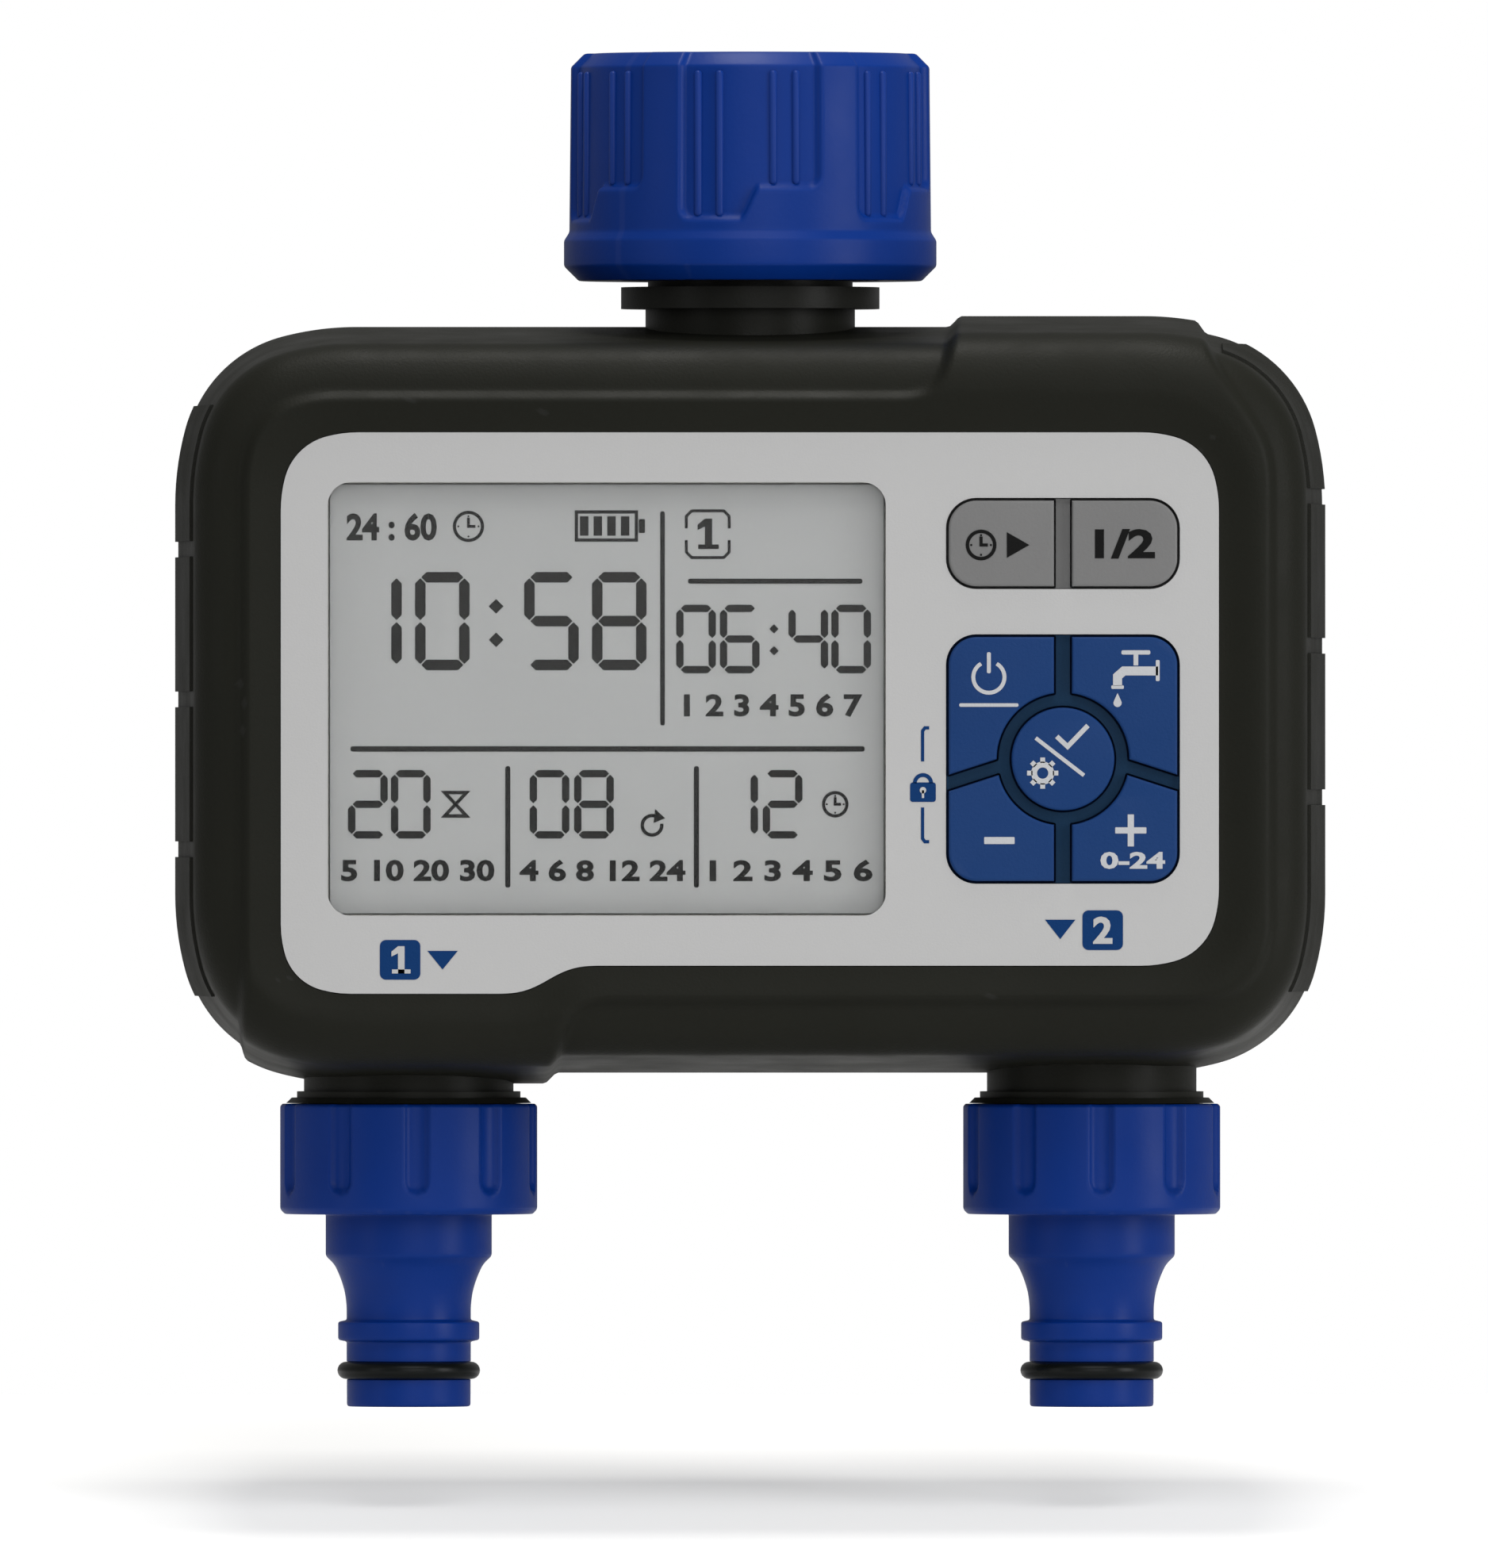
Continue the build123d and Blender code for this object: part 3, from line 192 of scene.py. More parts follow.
def finish_mesh(name, mesh, material, crease=35.0):
    """An object round a mesh, with its shading set."""
    thing = bpy.data.objects.new(name, mesh)
    scene.collection.objects.link(thing)
    mesh.shade_smooth()
    mesh.set_sharp_from_angle(angle=math.radians(crease))
    if material:
        mesh.materials.clear()
        mesh.materials.append(material)
    return thing


def grid_faces(rows, columns, wrap_rows=True, flip=False):
    """Quads of a grid that closes on itself along its columns, and along its rows too."""
    faces = []
    for r in range(rows if wrap_rows else rows - 1):
        after = (r + 1) % rows
        for c in range(columns):
            right = (c + 1) % columns
            quad = (r * columns + c, r * columns + right, after * columns + right,
                    after * columns + c)
            faces.append(quad[::-1] if flip else quad)
    return faces


def lathe(name, profile, material, count=180, centre=(0.0, 0.0), shape=None, crease=35.0):
    """A closed (radius, height) profile turned about an upright line; shape may move points."""
    profile = np.asarray(profile, float)
    angles = np.arange(count) * 2 * math.pi / count
    radius = np.repeat(profile[:, 0][:, None], count, 1)
    height = np.repeat(profile[:, 1][:, None], count, 1)
    if shape:
        radius, height = shape(radius, height, np.repeat(angles[None, :], len(profile), 0))
    points = np.stack([centre[0] + radius * np.cos(angles), centre[1] + radius * np.sin(angles),
                       height], -1).reshape(-1, 3)
    thing = make_object(name, points, grid_faces(len(profile), count), material, crease)
    turn_outwards(thing)
    return thing


def turn_outwards(thing):
    """Points every face of a closed mesh outwards."""
    work = bmesh.new()
    work.from_mesh(thing.data)
    bmesh.ops.remove_doubles(work, verts=work.verts, dist=1e-7)
    bmesh.ops.recalc_face_normals(work, faces=work.faces)
    volume = work.calc_volume(signed=True)
    if volume < 0:
        bmesh.ops.reverse_faces(work, faces=work.faces)
    work.to_mesh(thing.data)
    work.free()
    thing.data.update()


def densify(profile, step):
    """More points along the straight runs of a closed profile."""
    out = []
    for i, (r0, h0) in enumerate(profile):
        r1, h1 = profile[(i + 1) % len(profile)]
        parts = max(1, int(math.hypot(r1 - r0, h1 - h0) / step))
        out.extend((r0 + (r1 - r0) * k / parts, h0 + (h1 - h0) * k / parts)
                   for k in range(parts))
    return out


def rounded_profile(corners, parts=4):
    """A closed profile with its corners (radius, height, round) turned into small arcs."""
    out = []
    count = len(corners)
    for i, (r, h, size) in enumerate(corners):
        here = np.array([r, h], float)
        if size <= 0:
            out.append((r, h))
            continue
        before = np.array(corners[i - 1][:2], float) - here
        after = np.array(corners[(i + 1) % count][:2], float) - here
        reach = min(size, 0.45 * np.linalg.norm(before), 0.45 * np.linalg.norm(after))
        start = here + before / np.linalg.norm(before) * reach
        stop = here + after / np.linalg.norm(after) * reach
        for k in range(parts + 1):
            t = k / parts
            out.append(tuple((1 - t) ** 2 * start + 2 * t * (1 - t) * here + t * t * stop))
    return out


def resurface(node, material, crease=30.0):
    """A merged, smoothly shaded copy of a CAD node in the node's place."""
    source = nodes_cad[node]
    mesh = source.data.copy()
    work = bmesh.new()
    work.from_mesh(mesh)
    bmesh.ops.remove_doubles(work, verts=work.verts, dist=2e-6)
    work.to_mesh(mesh)
    work.free()
    if "custom_normal" in mesh.attributes:
        mesh.attributes.remove(mesh.attributes["custom_normal"])
    thing = finish_mesh(node + "_finish", mesh, material, crease)
    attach(thing, body_of[node])
    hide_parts(node)
    return thing


# ---- shader groups ---------------------------------------------------
def group(name, inputs, outputs):
    """An empty shader group with named sockets, and its inner ends."""
    tree = bpy.data.node_groups.new(name, "ShaderNodeTree")
    for title, kind, value in inputs:
        socket = tree.interface.new_socket(title, in_out="INPUT", socket_type=kind)
        socket.default_value = value
    for title, kind in outputs:
        tree.interface.new_socket(title, in_out="OUTPUT", socket_type=kind)
    return tree, tree.nodes.new("NodeGroupInput"), tree.nodes.new("NodeGroupOutput")


def feed(tree, value, socket):
    """Gives a socket a plain value, or links another socket to it."""
    if hasattr(value, "is_output"):
        tree.links.new(value, socket)
    else:
        socket.default_value = value


def noise(tree, scale, detail=3.0, roughness=0.5):
    """A noise texture on the object's own coordinates."""
    place = tree.nodes.new("ShaderNodeTexCoord")
    texture = tree.nodes.new("ShaderNodeTexNoise")
    texture.inputs["Detail"].default_value = detail
    texture.inputs["Roughness"].default_value = roughness
    tree.links.new(place.outputs["Object"], texture.inputs["Vector"])
    feed(tree, scale, texture.inputs["Scale"])
    return texture.outputs["Fac"]


def spread(tree, value, low, high, start=0.3, stop=0.7):
    """The value mapped from start-stop to low-high."""
    node = tree.nodes.new("ShaderNodeMapRange")
    sizes = {"From Min": start, "From Max": stop, "To Min": low, "To Max": high}
    for title, size in sizes.items():
        node.inputs[title].default_value = size
    tree.links.new(value, node.inputs["Value"])
    return node.outputs["Result"]


def maths(tree, operation, *values):
    """The result of a sum on sockets or plain numbers."""
    node = tree.nodes.new("ShaderNodeMath")
    node.operation = operation
    for value, socket in zip(values, node.inputs):
        feed(tree, value, socket)
    return node.outputs[0]


def screened(tree, amount, base, light):
    """The base colour with a lighter one screened over it."""
    node = tree.nodes.new("ShaderNodeMix")
    node.data_type = "RGBA"
    node.blend_type = "SCREEN"
    feed(tree, amount, node.inputs["Factor"])
    feed(tree, base, node.inputs[6])
    feed(tree, light, node.inputs[7])
    return node.outputs[2]


def moulded_skin():
    """Colour drift, sheen drift and spark-eroded grain of a moulded plastic."""
    tree, ends_in, ends_out = group("moulded_skin", [
        ("Colour", "NodeSocketColor", (0.1, 0.1, 0.1, 1)),
        ("Drift", "NodeSocketFloat", 0.1), ("Roughness", "NodeSocketFloat", 0.5),
        ("Roughness drift", "NodeSocketFloat", 0.06), ("Grain scale", "NodeSocketFloat", 2500.0),
        ("Grain depth", "NodeSocketFloat", 0.02), ("Wear", "NodeSocketFloat", 0.2)],
        [("Colour", "NodeSocketColor"), ("Roughness", "NodeSocketFloat"),
         ("Normal", "NodeSocketVector")])
    given, link = ends_in.outputs, tree.links.new
    cloud = spread(tree, noise(tree, 38.0), 0.0, 1.0)
    drift = maths(tree, "MULTIPLY", cloud, given["Drift"])
    paler = screened(tree, drift, given["Colour"], given["Colour"])
    edge = tree.nodes.new("ShaderNodeNewGeometry")
    sharp = spread(tree, edge.outputs["Pointiness"], 0.0, 1.0, 0.52, 0.62)
    worn = maths(tree, "MULTIPLY", sharp, given["Wear"])
    link(screened(tree, worn, paler, (0.05, 0.05, 0.055, 1)), ends_out.inputs["Colour"])
    sheen = spread(tree, noise(tree, 110.0, 4.0), -1.0, 1.0)
    link(maths(tree, "MULTIPLY_ADD", sheen, given["Roughness drift"], given["Roughness"]),
         ends_out.inputs["Roughness"])
    bump = tree.nodes.new("ShaderNodeBump")
    bump.inputs["Distance"].default_value = 0.0002
    link(given["Grain depth"], bump.inputs["Strength"])
    link(noise(tree, given["Grain scale"], 2.0, 0.6), bump.inputs["Height"])
    link(bump.outputs["Normal"], ends_out.inputs["Normal"])
    return tree


skin_group = moulded_skin()


def moulded(name, colour, roughness=0.5, drift=0.12, grain=2500.0, depth=0.2, wear=0.3,
            roughness_drift=0.06, **shader_values):
    """A moulded plastic or rubber material."""
    material = bpy.data.materials.new(name)
    material.use_nodes = True
    tree = material.node_tree
    shader = tree.nodes["Principled BSDF"]
    skin = tree.nodes.new("ShaderNodeGroup")
    skin.node_tree = skin_group
    skin.inputs["Colour"].default_value = (*colour, 1)
    skin.inputs["Drift"].default_value = drift
    skin.inputs["Roughness"].default_value = roughness
    skin.inputs["Roughness drift"].default_value = roughness_drift
    skin.inputs["Grain scale"].default_value = grain
    skin.inputs["Grain depth"].default_value = depth
    skin.inputs["Wear"].default_value = wear
    tree.links.new(skin.outputs["Colour"], shader.inputs["Base Color"])
    tree.links.new(skin.outputs["Roughness"], shader.inputs["Roughness"])
    tree.links.new(skin.outputs["Normal"], shader.inputs["Normal"])
    for title, value in shader_values.items():
        shader.inputs[title.replace("_", " ")].default_value = value
    return material


def metal(name, colour, roughness=0.3):
    """A drawn or plated metal."""
    return moulded(name, colour, roughness, drift=0.08, grain=900.0, depth=0.08, wear=0.0,
                   Metallic=1.0)


def clear_window():
    """Clear moulded window with a faint haze."""
    material = moulded("clear_window_plastic", (0.95, 0.96, 0.96), 0.08, depth=0.02,
                       roughness_drift=0.02, wear=0.0, drift=0.02)
    shader = material.node_tree.nodes["Principled BSDF"]
    shader.inputs["Transmission Weight"].default_value = 1.0
    shader.inputs["IOR"].default_value = 1.2
    return material


finishes = {
    "housing": moulded("housing_soft_black", (0.0105, 0.0108, 0.0078), 0.5, depth=0.22,
                       wear=0.12, Specular_IOR_Level=0.1),
    "waterway": moulded("waterway_black", (0.0095, 0.0098, 0.0072), 0.42, depth=0.1,
                        wear=0.12, Specular_IOR_Level=0.12),
    "grip": moulded("grip_rubber_black", (0.0102, 0.0105, 0.0076), 0.62, grain=1500.0, depth=0.35,
                    wear=0.12, Specular_IOR_Level=0.1),
    "panel": moulded("panel_grey_film", (0.468, 0.468, 0.468), 0.55, drift=0.02, grain=3200.0,
                     depth=0.12, wear=0.0, Specular_IOR_Level=0.25),
    "window": clear_window(),
    "glass": moulded("display_grey", (0.56, 0.56, 0.555), 0.5, drift=0.02, depth=0.03,
                     wear=0.0, Specular_IOR_Level=0.2),
    "segments": moulded("display_segments", (0.0055, 0.005, 0.0045), 0.55, drift=0.05,
                        wear=0.0, Specular_IOR_Level=0.1),
    "grey_key": moulded("key_grey_silicone", (0.165, 0.165, 0.165), 0.6, depth=0.2, wear=0.1,
                        Specular_IOR_Level=0.3),
    # the key mat is the grey keys' silicone painted darker: painted shade in the webs between the
    # keys
    "grey_mat": moulded("mat_grey_silicone_painted_shade", (0.125, 0.125, 0.125), 0.65, wear=0.0),
    "blue_key": moulded("key_blue_silicone", (0.0003, 0.031, 0.138), 0.62, depth=0.2, wear=0.1,
                        Specular_IOR_Level=0.25),
    # the key mat is the blue keys' silicone painted darker: painted shade in the webs between the
    # keys
    "blue_mat": moulded("mat_blue_silicone_painted_shade", (0.001, 0.022, 0.058), 0.65, wear=0.0,
                        Specular_IOR_Level=0.2),
    "blue": moulded("fitting_blue_plastic", (0.0010, 0.026, 0.195), 0.4, drift=0.10,
                    grain=1800.0, depth=0.08, wear=0.12, Specular_IOR_Level=0.13),
    "rubber": moulded("seal_black_rubber", (0.004, 0.005, 0.0045), 0.3, depth=0.05, wear=0.05,
                      Specular_IOR_Level=0.15),
    "grey_print": moulded("key_print_pale", (0.5, 0.51, 0.53), 0.6, wear=0.0, drift=0.02,
                          Specular_IOR_Level=0.15),
    "dark_print": moulded("key_print_black", (0.006, 0.006, 0.006), 0.6, wear=0.0,
                          Specular_IOR_Level=0.08),
    "blue_print": moulded("panel_print_blue", (0.0006, 0.031, 0.13), 0.6, wear=0.0,
                          drift=0.05, Specular_IOR_Level=0.12),
    "natural": moulded("natural_acetal", (0.62, 0.61, 0.57), 0.45, wear=0.0),
    "board": moulded("board_green", (0.01, 0.13, 0.045), 0.4, drift=0.2, wear=0.0),
    "chip": moulded("chip_black", (0.02, 0.02, 0.022), 0.5, wear=0.0),
    "steel": metal("screw_zinc", (0.62, 0.63, 0.64), 0.28),
    "spring": metal("spring_bright", (0.66, 0.65, 0.62), 0.22),
    "copper": moulded("coil_amber_tape", (0.42, 0.2, 0.035), 0.35, wear=0.0),
    "cell": moulded("cell_plain_wrap", (0.2, 0.22, 0.25), 0.3, wear=0.1),
    "lead": moulded("lead_red_sleeve", (0.35, 0.012, 0.01), 0.4, wear=0.0),
}


# ---- front shell: drafted sides, soft edge, raised frame and dished ba
side_rows, round_rows, face_rings = 13, 19, 24
panel_gap = 0.12
step_soft = 0.9                 # half the width of the frame's soft step
dish_span = (-5.6, 0.3)         # the band that dips to the panel's face
lip_deep, ledge_wide = 0.9, 1.4
inner_land, inner_bend = 2.1, 24.0


def front_shell():
    """The front moulding as one closed ring of cross sections round the panel."""
    rim = body_outline
    normal = outward(rim)
    round_y = front_depth - front_round
    round_inset = (front_round + round_y * math.sin(draft)) / math.cos(draft)
    sections = []
    for k in range(side_rows):
        y = (round_y - front_round * math.sin(draft)) * k / side_rows
        sections.append((y * math.tan(draft), -y, -math.cos(draft), -math.sin(draft)))
    for k in range(round_rows):
        angle = draft + (math.pi / 2 - draft) * k / (round_rows - 1)
        sections.append((round_inset - front_round * math.cos(angle),
                         -(round_y + front_round * math.sin(angle)), -math.cos(angle),
                         -math.sin(angle)))
    centre = np.array([0.0, body_mid])
    inner_edge = panel_outline + outward(panel_outline) * panel_gap
    ring_angle = np.arctan2(*(inner_edge - centre).T[::-1])
    ring_reach = np.linalg.norm(inner_edge - centre, axis=1)
    order = np.argsort(ring_angle)
    start = rim - normal * round_inset
    angle = np.arctan2(*(start - centre).T[::-1])
    reach = np.interp(angle, ring_angle[order], ring_reach[order], period=2 * math.pi)
    stop = centre + reach[:, None] * np.stack([np.cos(angle), np.sin(angle)], 1)
    rings = []
    for inset, y, toward, ahead in sections:
        flat = rim - normal * inset
        rings.append((flat, np.full(len(rim), y), toward, ahead))
    for k in range(1, face_rings + 1):
        flat = start + (stop - start) * k / face_rings
        rings.append((flat, np.full(len(rim), -front_depth), 0.0, -1.0))
    points = []
    for flat, y, toward, ahead in rings:
        inside = distance_inside(flat, frame_outline)
        near_panel = distance_inside(flat, panel_outline)
        raised = smooth_step(inside, -step_soft, step_soft)
        lift = frame_proud * raised
        dip = frame_proud + panel_face + front_depth
        dish = -ahead * dip * smooth_step(near_panel, *dish_span)
        x = flat[:, 0] - toward * normal[:, 0] * lift
        z = flat[:, 1] - toward * normal[:, 1] * lift
        deep = y + ahead * lift + dish * raised
        points.append(np.stack([x, deep, z], 1))
    # small round lip, then the recess wall, its ledge and the inside of the moulding
    edge = points[-1].copy()
    lip = edge.copy()
    lip[:, 1] += lip_deep
    points.append(lip)
    ledge = lip.copy()
    inward = (centre - stop) / np.linalg.norm(centre - stop, axis=1)[:, None]
    ledge[:, [0, 2]] = stop + inward * ledge_wide
    points.append(ledge)
    behind = ledge.copy()
    behind[:, 1] = -(front_depth - wall)
    points.append(behind)
    for inset, y in ((round_inset + 1.0, -(front_depth - wall)),
                     (wall + inner_land, -inner_bend), (wall, 0.0)):
        flat = rim - normal * inset
        points.append(np.stack([flat[:, 0], np.full(len(rim), y), flat[:, 1]], 1))
    rows, columns = len(points), len(rim)
    thing = make_object("front_moulding", np.concatenate(points), grid_faces(rows, columns),
                        finishes["housing"], crease=50.0)
    turn_outwards(thing)
    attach(thing, body_of["front_shell"])
    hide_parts("front_shell")
    return thing


# ---- inlet collar ----------------------------------------------------
facing = 270.0                  # the angle that looks forward, in degrees
rib_turns = (-17.5, -10.2, 7.6, 15.3)
rib_feet = (-2.3, -2.3, 1.8, 1.8)
rib_radius, rib_ring_radius = 0.56, 22.22
tap_bore, thread_pitch, thread_crest = 15.15, 2.309, 1.05
thread_low, thread_high = 0.3, 17.2
relief, relief_low, seat_low = 0.7, -0.2, -7.05
skirt_bevel, skirt_top, wall_foot, rim_bevel = 1.9, -5.1, -4.0, 1.75
finger_turn, finger_reach = 60.0, 23.0
finger_low, finger_high = -2.5, 1.5
finger_corner, finger_dent = 1.6, 0.9


def collar():
    """Swivel collar: six stepped finger panels outside and a pipe thread inside."""
    outer, skirt, top, low = 23.1, 24.0, collar_high[2], collar_low[2]
    bore, neck = tap_bore, 13.32
    shell = rounded_profile([
        (neck, low, 0.2), (skirt - skirt_bevel, low, 0.25), (skirt, low + skirt_bevel, 0.3),
        (skirt, skirt_top, 0.25), (outer + 0.2, wall_foot, 0.3), (outer, top - rim_bevel, 0.25),
        (outer - rim_bevel, top, 0.3), (bore + 2.0, top, 0.25), (bore, thread_high, 0.0),
        (bore, thread_low, 0.0), (bore + relief, relief_low, 0.0), (bore + relief, seat_low, 0.1),
        (neck, seat_low, 0.1)], parts=3)
    fine = []
    for i, (r, h) in enumerate(shell):
        r1, h1 = shell[(i + 1) % len(shell)]
        tall = abs(h1 - h)
        parts = max(1, int(tall / (0.36 if tall > 4 else 0.8)))
        fine.extend((r + (r1 - r) * k / parts, h + (h1 - h) * k / parts) for k in range(parts))

    def shape(radius, height, angle):
        turn = np.degrees(angle) - facing + finger_turn / 2
        along = np.radians(turn % finger_turn - finger_turn / 2) * outer
        reach = math.radians(finger_reach) * outer
        foot = finger_low + (finger_high - finger_low) * smooth_step(along, -1.3, 1.3)
        sides = np.minimum(along + reach, reach - along)
        over = height - foot
        near = (sides < finger_corner) & (over < finger_corner)
        rounded = finger_corner - np.hypot(finger_corner - sides, finger_corner - over)
        inside = np.where(near, rounded, np.minimum(sides, over))
        dent = finger_dent * smooth_step(inside, -0.25, 0.55)
        wall_part = (radius > outer - 2.2) & (height > wall_foot + 0.1)
        radius = radius - np.where(wall_part, dent, 0.0)
        phase = (height / thread_pitch - angle / (2 * math.pi)) % 1.0
        groove = thread_crest * (0.5 - 0.5 * np.cos(2 * math.pi * phase))
        in_bore = (radius < bore + 0.01) & (height > 1.0) & (height < 16.9) & (radius > 14.9)
        return radius + np.where(in_bore, groove, 0.0), height

    thing = lathe("collar_moulding", fine, finishes["blue"], count=540, shape=shape, crease=60.0)
    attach(thing, body_of["inlet_collar"])
    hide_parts("inlet_collar")
    return thing


# ---- repeats built as geometry nodes ---------------------------------
def geometry_tree(name, inputs):
    """An empty geometry tree with named sizes, and its inner ends."""
    tree = bpy.data.node_groups.new(name, "GeometryNodeTree")
    tree.interface.new_socket("Geometry", in_out="INPUT", socket_type="NodeSocketGeometry")
    for title, kind in inputs:
        tree.interface.new_socket(title, in_out="INPUT", socket_type=kind)
    tree.interface.new_socket("Geometry", in_out="OUTPUT", socket_type="NodeSocketGeometry")
    return tree, tree.nodes.new("NodeGroupInput"), tree.nodes.new("NodeGroupOutput")


def socket_named(tree, title):
    """The identifier of a tree's input."""
    for item in tree.interface.items_tree:
        if item.in_out == "INPUT" and item.name == title:
            return item.identifier
    raise KeyError(title)


def grown_mesh(name, tree, values, material):
    """The tree's result as a plain mesh object."""
    mesh = bpy.data.meshes.new(name + "_seed")
    seed = bpy.data.objects.new(name + "_seed", mesh)
    scene.collection.objects.link(seed)
    modifier = seed.modifiers.new("repeat", "NODES")
    modifier.node_group = tree
    for title, value in values.items():
        modifier[socket_named(tree, title)] = value
    depsgraph = bpy.context.evaluated_depsgraph_get()
    result = bpy.data.meshes.new_from_object(seed.evaluated_get(depsgraph))
    result.name = name
    bpy.data.objects.remove(seed)
    bpy.data.meshes.remove(mesh)
    return finish_mesh(name, result, material, 40.0)


def along_axis(tree, axis, length):
    """A vector of the given length along one axis."""
    node = tree.nodes.new("ShaderNodeCombineXYZ")
    tree.links.new(length, node.inputs[axis])
    return node.outputs[0]


def copies(tree, points, part, material, end):
    """A copy of the part on every point, made real and painted, at the tree's end."""
    new, link = tree.nodes.new, tree.links.new
    spots = new("GeometryNodeInstanceOnPoints")
    link(points, spots.inputs["Points"])
    link(part, spots.inputs["Instance"])
    solid = new("GeometryNodeRealizeInstances")
    link(spots.outputs["Instances"], solid.inputs["Geometry"])
    paint = new("GeometryNodeSetMaterial")
    link(solid.outputs["Geometry"], paint.inputs["Geometry"])
    link(material, paint.inputs["Material"])
    link(paint.outputs["Geometry"], end.inputs["Geometry"])


def rib_ring_tree():
    """Upright round-ended ribs spaced evenly round the collar."""
    tree, ends_in, ends_out = geometry_tree("rib_ring", [
        ("Count", "NodeSocketInt"), ("Ring radius", "NodeSocketFloat"),
        ("Rib radius", "NodeSocketFloat"), ("Rib length", "NodeSocketFloat"),
        ("Middle height", "NodeSocketFloat"), ("Turn", "NodeSocketFloat"),
        ("Material", "NodeSocketMaterial")])
    new, link, given = tree.nodes.new, tree.links.new, ends_in.outputs
    barrel = new("GeometryNodeMeshUVSphere")
    barrel.inputs["Segments"].default_value = 12
    barrel.inputs["Rings"].default_value = 8
    link(given["Rib radius"], barrel.inputs["Radius"])
    place = new("GeometryNodeInputPosition")
    parts = new("ShaderNodeSeparateXYZ")
    link(place.outputs[0], parts.inputs[0])
    way = maths(tree, "SIGN", parts.outputs["Z"])
    reach = maths(tree, "MULTIPLY", way, given["Rib length"])
    stretch = new("GeometryNodeSetPosition")
    link(barrel.outputs["Mesh"], stretch.inputs["Geometry"])
    link(along_axis(tree, "Z", reach), stretch.inputs["Offset"])
    ring = new("GeometryNodeMeshCircle")
    link(given["Count"], ring.inputs["Vertices"])
    link(given["Ring radius"], ring.inputs["Radius"])
    move = new("GeometryNodeTransform")
    link(ring.outputs["Mesh"], move.inputs["Geometry"])
    link(along_axis(tree, "Z", given["Middle height"]), move.inputs["Translation"])
    link(along_axis(tree, "Z", given["Turn"]), move.inputs["Rotation"])
    copies(tree, move.outputs["Geometry"], stretch.outputs["Geometry"], given["Material"],
           ends_out)
    return tree


def bar_row_tree():
    """A row of small upright bars along X, for level marks and scales."""
    tree, ends_in, ends_out = geometry_tree("bar_row", [
        ("Count", "NodeSocketInt"), ("First", "NodeSocketVector"), ("Pitch", "NodeSocketFloat"),
        ("Bar", "NodeSocketVector"), ("Material", "NodeSocketMaterial")])
    new, link, given = tree.nodes.new, tree.links.new, ends_in.outputs
    bar = new("GeometryNodeMeshCube")
    link(given["Bar"], bar.inputs["Size"])
    row = new("GeometryNodeMeshLine")
    row.mode = "OFFSET"
    link(given["Count"], row.inputs["Count"])
    link(given["First"], row.inputs["Start Location"])
    link(along_axis(tree, "X", given["Pitch"]), row.inputs["Offset"])
    copies(tree, row.outputs["Mesh"], bar.outputs["Mesh"], given["Material"], ends_out)
    return tree


def join(things, name):
    """One object out of several, all at the origin."""
    work = bmesh.new()
    for thing in things:
        work.from_mesh(thing.data)
    mesh = bpy.data.meshes.new(name)
    work.to_mesh(mesh)
    work.free()
    material = things[0].data.materials[0]
    for thing in things:
        bpy.data.objects.remove(thing)
    return finish_mesh(name, mesh, material, 40.0)


def collar_ribs():
    """Two long and two short ribs on each finger panel."""
    tree = rib_ring_tree()
    rings = []
    rib_top = collar_high[2] - 2.4
    for turn, foot in zip(rib_turns, rib_feet):
        rings.append(grown_mesh("rib_ring", tree, {
            "Count": 6, "Ring radius": rib_ring_radius * MM, "Rib radius": rib_radius * MM,
            "Rib length": ((rib_top - foot) / 2 - rib_radius) * MM,
            "Middle height": (rib_top + foot) / 2 * MM, "Turn": math.radians(facing + turn),
            "Material": finishes["blue"]}, finishes["blue"]))
    thing = join(rings, "collar_ribs")
    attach(thing, body_of["inlet_collar"])


# ---- outlet adaptors -------------------------------------------------
nut_bore, nut_radius, nut_low, nut_floor = 13.26, 16.56, -130.5, -128.9
step_radius, step_low = 10.7, -135.9
hose_radius, tip_radius, water_radius = 8.0, 7.97, 5.0
ridge_radius, ridge_top, ridge_low = 9.1, -144.4, -146.7
groove_radius, groove_top, groove_low = 6.95, -149.5, -151.8
finger_grooves, groove_half, groove_deep, groove_end = 10, 1.65, 0.85, -127.9
first_groove = 274.0            # the groove nearest the front, in degrees


